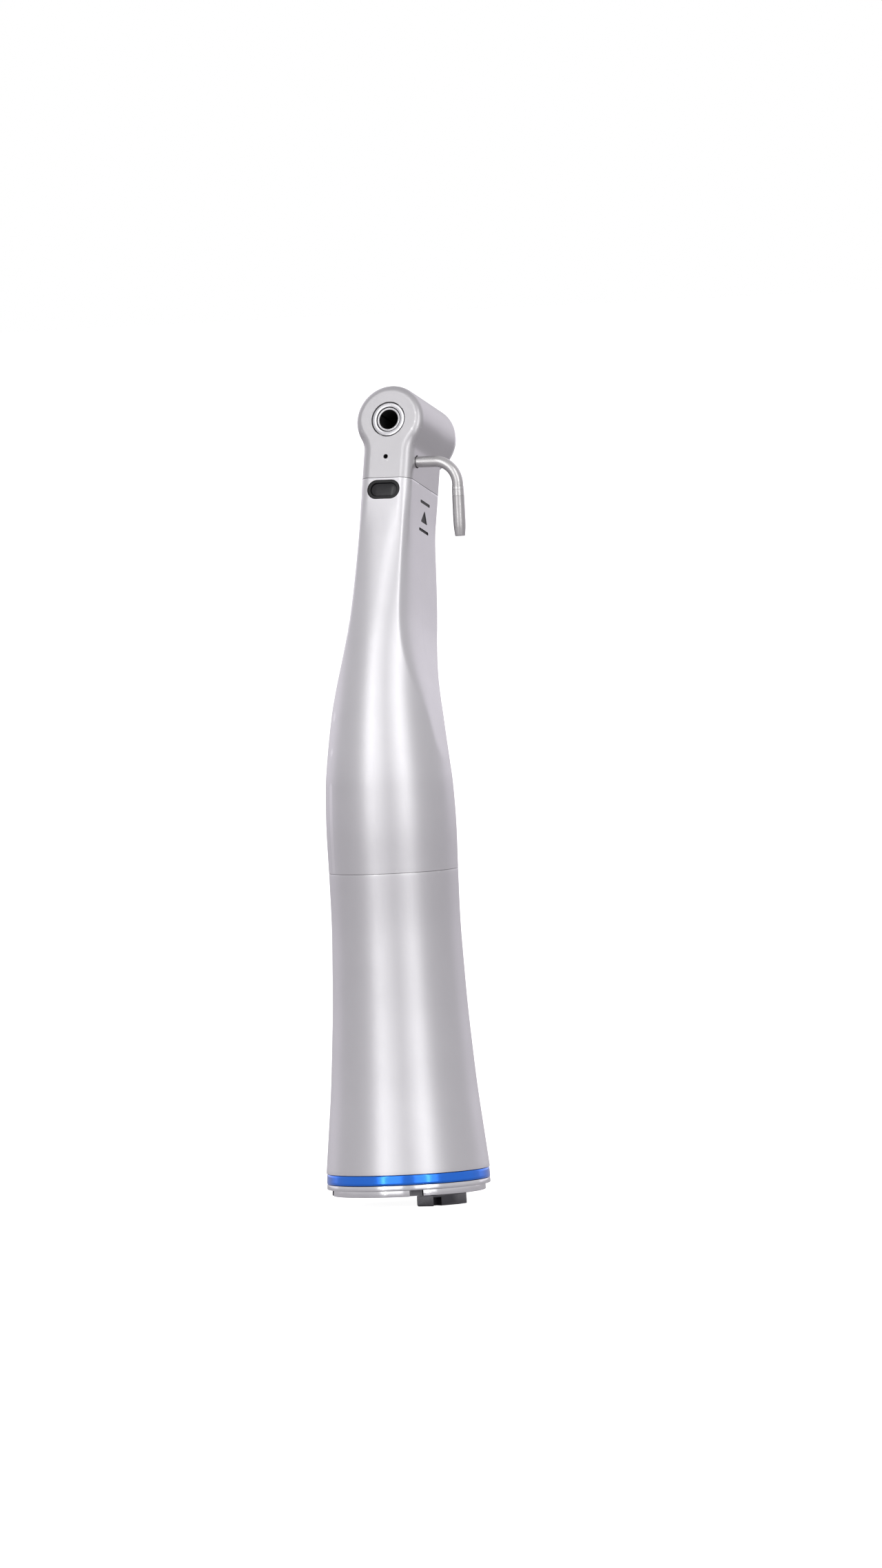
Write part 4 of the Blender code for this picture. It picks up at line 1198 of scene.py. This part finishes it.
@dataclass(frozen=True)
class Bearing:
    """Ball bearing of two grooved races and a cage that carries the balls."""

    name: str
    axes: Axes
    body: str
    low: float
    high: float
    bore_r: float
    outer_r: float
    balls: int

    def races(self, paint: Paintbox) -> None:
        """Turn the two races with a round groove for the balls."""
        depth, middle = self.outer_r - self.bore_r, (self.low + self.high) / 2
        race, groove = 0.22 * depth, 0.23 * depth
        grooves = {}
        for sign, face in ((1, self.bore_r + race), (-1, self.outer_r - race)):
            grooves[sign] = [(face - sign * 0.04 * depth * math.sin(math.pi * k / 10),
                              middle + groove * math.cos(math.pi * k / 10)) for k in range(11)]
        ease = 0.04
        inner = [(self.bore_r, self.high - ease), (self.bore_r, self.low + ease),
                 (self.bore_r + ease, self.low), (self.bore_r + race, self.low)]
        inner += list(reversed(grooves[1]))
        inner += [(self.bore_r + race, self.high), (self.bore_r + ease, self.high)]
        outer = [(self.outer_r, self.low + ease), (self.outer_r, self.high - ease),
                 (self.outer_r - ease, self.high), (self.outer_r - race, self.high)]
        outer += grooves[-1]
        outer += [(self.outer_r - race, self.low), (self.outer_r - ease, self.low)]
        for kind, outline, body in (("inner", inner, self.body), ("outer", outer, "housing")):
            piece = Shape().turn(outline, self.axes, 72).finish(f"{self.name}_{kind}_ring",
                                                                paint["race_steel"])
            replace_in_body(piece, body, "race_steel", f"{self.name}_{kind}_race")

    def cage(self, paint: Paintbox) -> bpy.types.Object:
        """Set the balls round a circle on one thin ring that runs through their middles."""
        depth = self.outer_r - self.bore_r
        graph = Graph(self.name + "_balls")
        ball_r = graph.size("ball radius", 0.25 * depth)
        pitch_r = graph.size("pitch radius", (self.bore_r + self.outer_r) / 2)
        middle = graph.size("middle height", (self.low + self.high) / 2)
        count = graph.size("number of balls", self.balls)
        rib_r = graph.size("cage rib radius", 0.11 * depth)
        circle = graph.add("GeometryNodeCurvePrimitiveCircle", {"Resolution": count,
                                                                "Radius": pitch_r})
        ball = graph.add("GeometryNodeMeshUVSphere", {"Segments": 24, "Rings": 16,
                                                      "Radius": ball_r})
        balls = graph.add("GeometryNodeInstanceOnPoints", {
            "Points": circle.outputs["Curve"], "Instance": ball.outputs["Mesh"]})
        rail = graph.add("GeometryNodeCurvePrimitiveCircle", {"Resolution": 60,
                                                              "Radius": pitch_r})
        profile = graph.add("GeometryNodeCurvePrimitiveCircle", {"Resolution": 8,
                                                                 "Radius": rib_r})
        rib = graph.add("GeometryNodeCurveToMesh", {"Curve": rail.outputs["Curve"],
                                                    "Profile Curve": profile.outputs["Curve"]})
        both = graph.add("GeometryNodeJoinGeometry", {"Geometry": balls.outputs["Instances"]})
        graph.tree.links.new(rib.outputs["Mesh"], both.inputs["Geometry"])
        lift = graph.add("ShaderNodeCombineXYZ", {"Z": middle})
        lifted = graph.add("GeometryNodeTransform", {"Geometry": both.outputs["Geometry"],
                                                     "Translation": lift.outputs["Vector"]})
        piece = graph.result(self.name + "_balls", graph.placed(lifted.outputs["Geometry"],
                                                                self.axes), paint["ball_cage"])
        return replace_in_body(piece, self.name + "_cage", "ball_cage",
                               self.name + "_ball_cage")

    def build(self, paint: Paintbox) -> None:
        """Build the races and the cage."""
        self.races(paint)
        self.cage(paint)


BEARINGS = (
    Bearing("rear_bearing", REAR, "rear_shaft_line", 28.0, 31.0, 1.55, 3.95, 6),
    Bearing("elbow_bearing", REAR, "rear_shaft_line", 44.5, 47.5, 1.55, 3.95, 6),
    Bearing("neck_rear_bearing", NECK, "neck_shaft_line", 7.8, 9.8, 1.05, 2.27, 6),
    Bearing("neck_front_bearing", NECK, "neck_shaft_line", 28.6, 30.6, 1.05, 2.27, 6),
    Bearing("head_front_bearing", HEAD, "spindle_line", -4.66, -2.76, 1.80, 3.35, 7),
    Bearing("head_rear_bearing", HEAD, "spindle_line", 3.45, 4.75, 1.80, 3.35, 7),
)


@dataclass(frozen=True)
class Spring:
    """Open coil spring."""

    name: str
    node: str
    axes: Axes
    body: str
    joint: str
    coil_r: float
    wire_r: float
    low: float
    high: float
    turns: float
    fixed_at: float
    keep: float

    def build(self, paint: Paintbox) -> bpy.types.Object:
        """Wind the wire along a spiral and hang it on its body."""
        graph = Graph(self.name)
        coil_r, wire_r = graph.size("coil radius", self.coil_r), graph.size("wire radius",
                                                                            self.wire_r)
        height, turns = graph.size("height", self.high - self.low), graph.size("turns", self.turns)
        start = graph.size("start height", self.low)
        spiral = graph.add("GeometryNodeCurveSpiral", {
            "Resolution": 40, "Rotations": turns, "Start Radius": coil_r, "End Radius": coil_r,
            "Height": height})
        profile = graph.add("GeometryNodeCurvePrimitiveCircle", {"Resolution": 12,
                                                                 "Radius": wire_r})
        wire = graph.add("GeometryNodeCurveToMesh", {
            "Curve": spiral.outputs["Curve"], "Profile Curve": profile.outputs["Curve"],
            "Fill Caps": True})
        lift = graph.add("ShaderNodeCombineXYZ", {"Z": start})
        lifted = graph.add("GeometryNodeTransform", {"Geometry": wire.outputs["Mesh"],
                                                     "Translation": lift.outputs["Vector"]})
        piece = graph.result(self.name, graph.placed(lifted.outputs["Geometry"], self.axes),
                             paint["race_steel"])
        replace_in_body(piece, self.body, "polished_steel", self.node)
        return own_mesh(piece, self.joint, axis=tuple(self.axes.z),
                         anchor=tuple(self.axes.point(0, 0, self.fixed_at) * MM), keep=self.keep)


SPRINGS = (
    Spring("dog_spring_coil", "dog_spring", REAR, "rear_shaft_line", "drive_dog_slide", 2.05, 0.18,
           20.25, 23.35, 4.0, 23.55, 0.64),
    Spring("button_spring_coil", "button_spring", HEAD, "housing", "push_button_press", 2.55, 0.12,
           4.95, 5.82, 2.0, 4.83, 0.55),
)


# ---- light and irrigation -------------------------------------------------------------------
@dataclass(frozen=True)
class LightWindow:
    """Black frame and dark domed lens in the neck's front face."""

    along: float = 25.95
    frame_half: tuple[float, float] = (2.09, 1.16)
    lens_half: tuple[float, float] = (1.72, 0.84)

    def build(self, paint: Paintbox) -> None:
        """Build the frame and the lens."""
        axes = window_axes(self.along)
        rings = []
        for shrink, depth in ((0.0, -0.62), (0.0, -0.08), (0.03, -0.04), (0.08, -0.03)):
            rings.append([axes.point(x, y, depth) for x, y in
                          stadium(self.frame_half[0] - shrink, self.frame_half[1] - shrink)])
        for grow, depth in ((0.05, -0.03), (0.01, -0.06), (0.0, -0.12), (0.0, -0.62)):
            rings.append([axes.point(x, y, depth) for x, y in
                          stadium(self.lens_half[0] + grow, self.lens_half[1] + grow)])
        frame_piece = Shape().loft(rings, closed=True).finish("window_bezel",
                                                              paint["black_frame"])
        replace_in_body(frame_piece, "housing", "black_frame", "window_frame")
        rings = []
        steps = 14
        for shrink, depth in ((0.02, -0.55), (0.02, -0.2)):
            rings.append([axes.point(x, y, depth) for x, y in
                          stadium(self.lens_half[0] - shrink, self.lens_half[1] - shrink)])
        for i in range(1, steps):
            share = i / steps
            shrink = 0.02 + 0.8 * share
            depth = -0.2 + 0.12 * math.sin(math.pi / 2 * share) ** 0.7
            rings.append([axes.point(x, y, depth) for x, y in
                          stadium(self.lens_half[0] - shrink, self.lens_half[1] - shrink)])
        lens = Shape().loft(rings).finish("window_lens", paint["smoked_lens"])
        replace_in_body(lens, "housing", "smoked_lens", "light_lens")


@dataclass(frozen=True)
class Irrigation:
    """Bent tube in the side socket, with its seal and hose nipple.

    A groove of the nipple is its distance below the mouth and the radius there.
    """

    half_width: float = 3.3
    socket_t: float = -3.1
    socket_s: float = 29.85
    reach_x: float = 8.48
    tube_r: float = 0.68
    spigot_r: float = 0.59
    bore_r: float = 0.42
    bend_r: float = 2.8
    nipple_low: float = 79.7
    nipple_high: float = 85.94
    grooves: tuple[tuple[float, float], ...] = ((1.26, 0.745), (0.5, 0.73), (0.12, 0.712))

    def seat(self) -> Vector:
        """Mouth of the socket."""
        return NECK.point(self.half_width, self.socket_t, self.socket_s)

    def pipe(self, name: str, amount: float, ends: tuple[float, float],
             material: bpy.types.Material) -> bpy.types.Object:
        """Round bar along the tube's path.

        Args:
            name: Name of the piece.
            amount: Radius of the bar.
            ends: Distance that it starts inside the socket, and height that it ends at.
            material: Its finish.

        Returns:
            The bar.
        """
        seat = self.seat()
        points = [seat + Vector((-ends[0], 0, 0)), Vector((self.reach_x, seat.y, seat.z)),
                  Vector((self.reach_x, seat.y, ends[1]))]
        curve = bpy.data.curves.new(name + "_path", "CURVE")
        curve.dimensions = "3D"
        spline = curve.splines.new("POLY")
        spline.points.add(len(points) - 1)
        for corner, point in zip(spline.points, points):
            corner.co = (*(point * MM), 1.0)
        path = bpy.data.objects.new(name + "_path", curve)
        bpy.context.scene.collection.objects.link(path)
        graph = Graph(name)
        bar_r, bend = graph.size("radius", amount * MM), graph.size("bend radius",
                                                                    self.bend_r * MM)
        soft = graph.add("GeometryNodeFilletCurve", {"Curve": graph.entry.outputs["Geometry"],
                                                     "Radius": bend, "Count": 40}, mode="POLY")
        profile = graph.add("GeometryNodeCurvePrimitiveCircle", {"Resolution": 40,
                                                                 "Radius": bar_r})
        bar = graph.add("GeometryNodeCurveToMesh", {
            "Curve": soft.outputs["Curve"], "Profile Curve": profile.outputs["Curve"],
            "Fill Caps": True})
        return graph.result(name, bar.outputs["Mesh"], material, path, 40)

    def tube(self, paint: Paintbox) -> bpy.types.Object:
        """Bend the tube, turn down its end to go into the nipple and bore it through."""
        end = self.nipple_high - 1.6
        axes = REAR.moved(self.reach_x, self.seat().y, 0)
        step = self.nipple_high + 0.025
        spigot = Shape().turn([(self.spigot_r, end - 1), (1.2, end - 1), (1.2, step - 0.02),
                               (self.tube_r - 0.02, step), (self.spigot_r, step)], axes,
                              64).finish("spigot_cutter", paint["tube_steel"])
        piece = self.pipe("irrigation_pipe", self.tube_r, (0.9, end), paint["tube_steel"])
        # Painted shade: the tube's bore is lined with the near-black finish.
        bore = self.pipe("bore_cutter", self.bore_r, (1.5, end - 1.0), paint["engraving_and_hole_shade"])
        return replace_in_body(carve(piece, [bore, spigot], 40), "housing", "polished_steel",
                               "coolant_tube")

    def nipple(self, paint: Paintbox) -> bpy.types.Object:
        """Turn the tapered nipple, with fine grooves near its mouth."""
        axes = REAR.moved(self.reach_x, self.seat().y, 0)
        low, high = self.nipple_low, self.nipple_high
        outside = [(self.bore_r, low + 0.03), (self.bore_r + 0.03, low), (0.59, low),
                   (0.62, low + 0.04)]
        body = flowing([(low + 0.04, 0.62), (low + 1.3, 0.735), (low + 3.4, 0.75),
                        (high - 1.3, 0.745)], 24)
        outside += [(r, z) for z, r in body[1:]]
        for below, r in self.grooves:
            z = high - below
            outside += [(r, z - 0.035), (r - 0.035, z - 0.02), (r - 0.035, z + 0.02),
                        (r, z + 0.035)]
        outside += [(0.70, high - 0.02), (0.685, high), (0.62, high)]
        inner = [(0.605, high - 0.02), (0.605, high - 1.75), (self.bore_r, high - 1.75)]
        piece = Shape().turn(outside + inner, axes, 96).finish("nipple_body",
                                                               paint["tube_steel"])
        return replace_in_body(piece, "housing", "polished_steel", "hose_nipple")

    def seal(self, paint: Paintbox) -> bpy.types.Object:
        """Turn the seal ring inside the socket."""
        axes = Axes(self.seat(), ACROSS, ALONG, SIDE)
        outline = [(0.765 + 0.07 * math.cos(TAU * k / 16),
                    -0.4 + 0.07 * math.sin(TAU * k / 16)) for k in range(16)]
        piece = Shape().turn(outline, axes, 64).finish("socket_seal", paint["seal_rubber"])
        return replace_in_body(piece, "housing", "seal_rubber", "tube_seal")

    def build(self, paint: Paintbox) -> None:
        """Build the tube, the nipple and the seal."""
        self.tube(paint)
        self.nipple(paint)
        self.seal(paint)


# ---- studio ---------------------------------------------------------------------------------
@dataclass(frozen=True)
class Studio:
    """Pale floor, soft boxes, surrounding light and the camera.

    The floor and the backdrop look white to the camera and stay greyer in reflections.
    """

    azimuth: float = 22.0
    elevation: float = 2.9
    roll: float = 2.8
    distance: float = 4.0
    frame_height_mm: float = 191.5
    aim_right: float = 6.30
    aim_up: float = 49.58
    surround: float = 0.7

    def direction(self, turn: float, elevation: float) -> Vector:
        """Direction from the object, turned from the camera's side."""
        a, e = math.radians(self.azimuth + turn), math.radians(elevation)
        return Vector((math.sin(a) * math.cos(e), -math.cos(a) * math.cos(e), math.sin(e)))

    def camera(self) -> None:
        """Place the camera."""
        a, e = math.radians(self.azimuth), math.radians(self.elevation)
        right = Vector((math.cos(a), math.sin(a), 0))
        up = Vector((-math.sin(a) * math.sin(e), math.cos(a) * math.sin(e), math.cos(e)))
        back = self.direction(0, self.elevation)
        c, s = math.cos(math.radians(self.roll)), math.sin(math.radians(self.roll))
        aim = (right * self.aim_right + up * self.aim_up) * MM
        data = bpy.data.cameras.new("camera")
        data.sensor_width = 36.0
        data.lens = 36.0 * self.distance / (self.frame_height_mm * MM)
        data.clip_start, data.clip_end = 0.05, 20.0
        camera = bpy.data.objects.new("camera", data)
        bpy.context.scene.collection.objects.link(camera)
        basis = Matrix((right * c - up * s, up * c + right * s, back)).transposed().to_4x4()
        camera.matrix_world = Matrix.Translation(aim + back * self.distance) @ basis
        bpy.context.scene.camera = camera

    def soft_box(self, name: str, turn: float, elevation: float, distance: float,
                 size: tuple[float, float], radiance: float,
                 color: tuple[float, float, float] = (1.0, 1.0, 1.0)) -> None:
        """Hang a rectangular light that faces the object.

        Args:
            name: Name of the light.
            turn: Degrees round from the camera's side.
            elevation: Degrees above the floor.
            distance: Metres from the object's middle.
            size: Width and height in metres.
            radiance: Brightness of its face.
            color: Its colour.
        """
        data = bpy.data.lights.new(name, "AREA")
        data.shape = "RECTANGLE"
        data.size, data.size_y = size
        data.energy = radiance * math.pi * size[0] * size[1]
        data.color = color
        light = bpy.data.objects.new(name, data)
        bpy.context.scene.collection.objects.link(light)
        way = self.direction(turn, elevation)
        light.location = Vector((0, 0, 0.05)) + way * distance
        light.rotation_mode = "QUATERNION"
        light.rotation_quaternion = way.to_track_quat("Z", "Y")
        light.visible_camera = False

    def surroundings(self) -> None:
        """Even grey light from all round, in front of a white backdrop."""
        world = bpy.data.worlds.new("studio")
        bpy.context.scene.world = world
        world.use_nodes = True
        tree = world.node_tree
        glow = tree.nodes["Background"]
        glow.inputs["Color"].default_value = (0.985, 0.965, 1.0, 1.0)
        glow.inputs["Strength"].default_value = self.surround
        white = tree.nodes.new("ShaderNodeBackground")
        white.inputs["Color"].default_value = (1.0, 1.0, 1.0, 1.0)
        white.inputs["Strength"].default_value = 1.0
        path = tree.nodes.new("ShaderNodeLightPath")
        pick = tree.nodes.new("ShaderNodeMixShader")
        tree.links.new(path.outputs["Is Camera Ray"], pick.inputs[0])
        tree.links.new(glow.outputs[0], pick.inputs[1])
        tree.links.new(white.outputs[0], pick.inputs[2])
        tree.links.new(pick.outputs[0], tree.nodes["World Output"].inputs["Surface"])

    def floor(self, lowest: float) -> None:
        """Lay the pale floor just under the object.

        Args:
            lowest: Height of the object's lowest point, in metres.
        """
        shape = Shape()
        rings = [[Vector((r * math.cos(TAU * i / 96), r * math.sin(TAU * i / 96),
                          lowest / MM - 0.02)) for i in range(96)] for r in (3000.0, 40.0)]
        first, second = (shape.ring(ring) for ring in rings)
        shape.bridge(first, second)
        shape.bm.faces.new(second)
        sheet = NodeSheet("pale_floor")
        sheet.shader.inputs["Base Color"].default_value = (0.6, 0.59, 0.6, 1.0)
        sheet.shader.inputs["Roughness"].default_value = 0.9
        sheet.shader.inputs["Specular IOR Level"].default_value = 0.0
        glow = sheet.add("ShaderNodeEmission", {"Color": (1.0, 1.0, 1.0, 1.0), "Strength": 0.95})
        seen = sheet.add("ShaderNodeAddShader", {0: sheet.shader.outputs[0], 1: glow.outputs[0]})
        path = sheet.add("ShaderNodeLightPath")
        pick = sheet.add("ShaderNodeMixShader", {0: path.outputs["Is Camera Ray"],
                                                 1: sheet.shader.outputs[0],
                                                 2: seen.outputs[0]})
        sheet.tree.links.new(pick.outputs[0],
                             sheet.tree.nodes["Material Output"].inputs["Surface"])
        shape.finish("floor", sheet.material)

    def lights(self) -> None:
        """Hang the soft boxes: two in front with a bright strip in each, and two behind."""
        self.soft_box("front_left", -27, 8, 0.95, (0.60, 1.4), 0.92)
        self.soft_box("front_right", 25, 8, 0.95, (0.58, 1.4), 0.92)
        self.soft_box("strip_left", -36, 8, 0.9, (0.06, 1.4), 3.4)
        self.soft_box("strip_right", 28, 8, 0.9, (0.06, 1.4), 3.2)
        self.soft_box("back_left", -142, 10, 1.1, (0.9, 1.8), 0.4, (0.95, 0.88, 1.0))
        self.soft_box("back_right", 142, 10, 1.1, (0.9, 1.8), 0.4, (0.95, 0.88, 1.0))

    def build(self, lowest: float) -> None:
        """Set up the whole studio over a floor at the object's lowest point."""
        bpy.context.scene.view_settings.view_transform = "Standard"
        self.camera()
        self.surroundings()
        self.lights()
        self.floor(lowest)


def main() -> None:
    """Build every sub-assembly in order, dress what is carried over and set up the studio."""
    logging.basicConfig(level=logging.INFO, format="%(name)s %(message)s")
    paint = Paintbox()
    RearCasing().build(paint)
    NeckCasing().build(paint)
    HeadCasing().build(paint)
    Chuck().build(paint)
    for bearing in BEARINGS:
        bearing.build(paint)
    for spring in SPRINGS:
        spring.build(paint)
    LightWindow().build(paint)
    Irrigation().build(paint)
    paint.dress_carried(frame["nodes"], frame["record"])
    Studio().build(CAD_BOX[0].z)


if __name__ == "__main__":
    main()
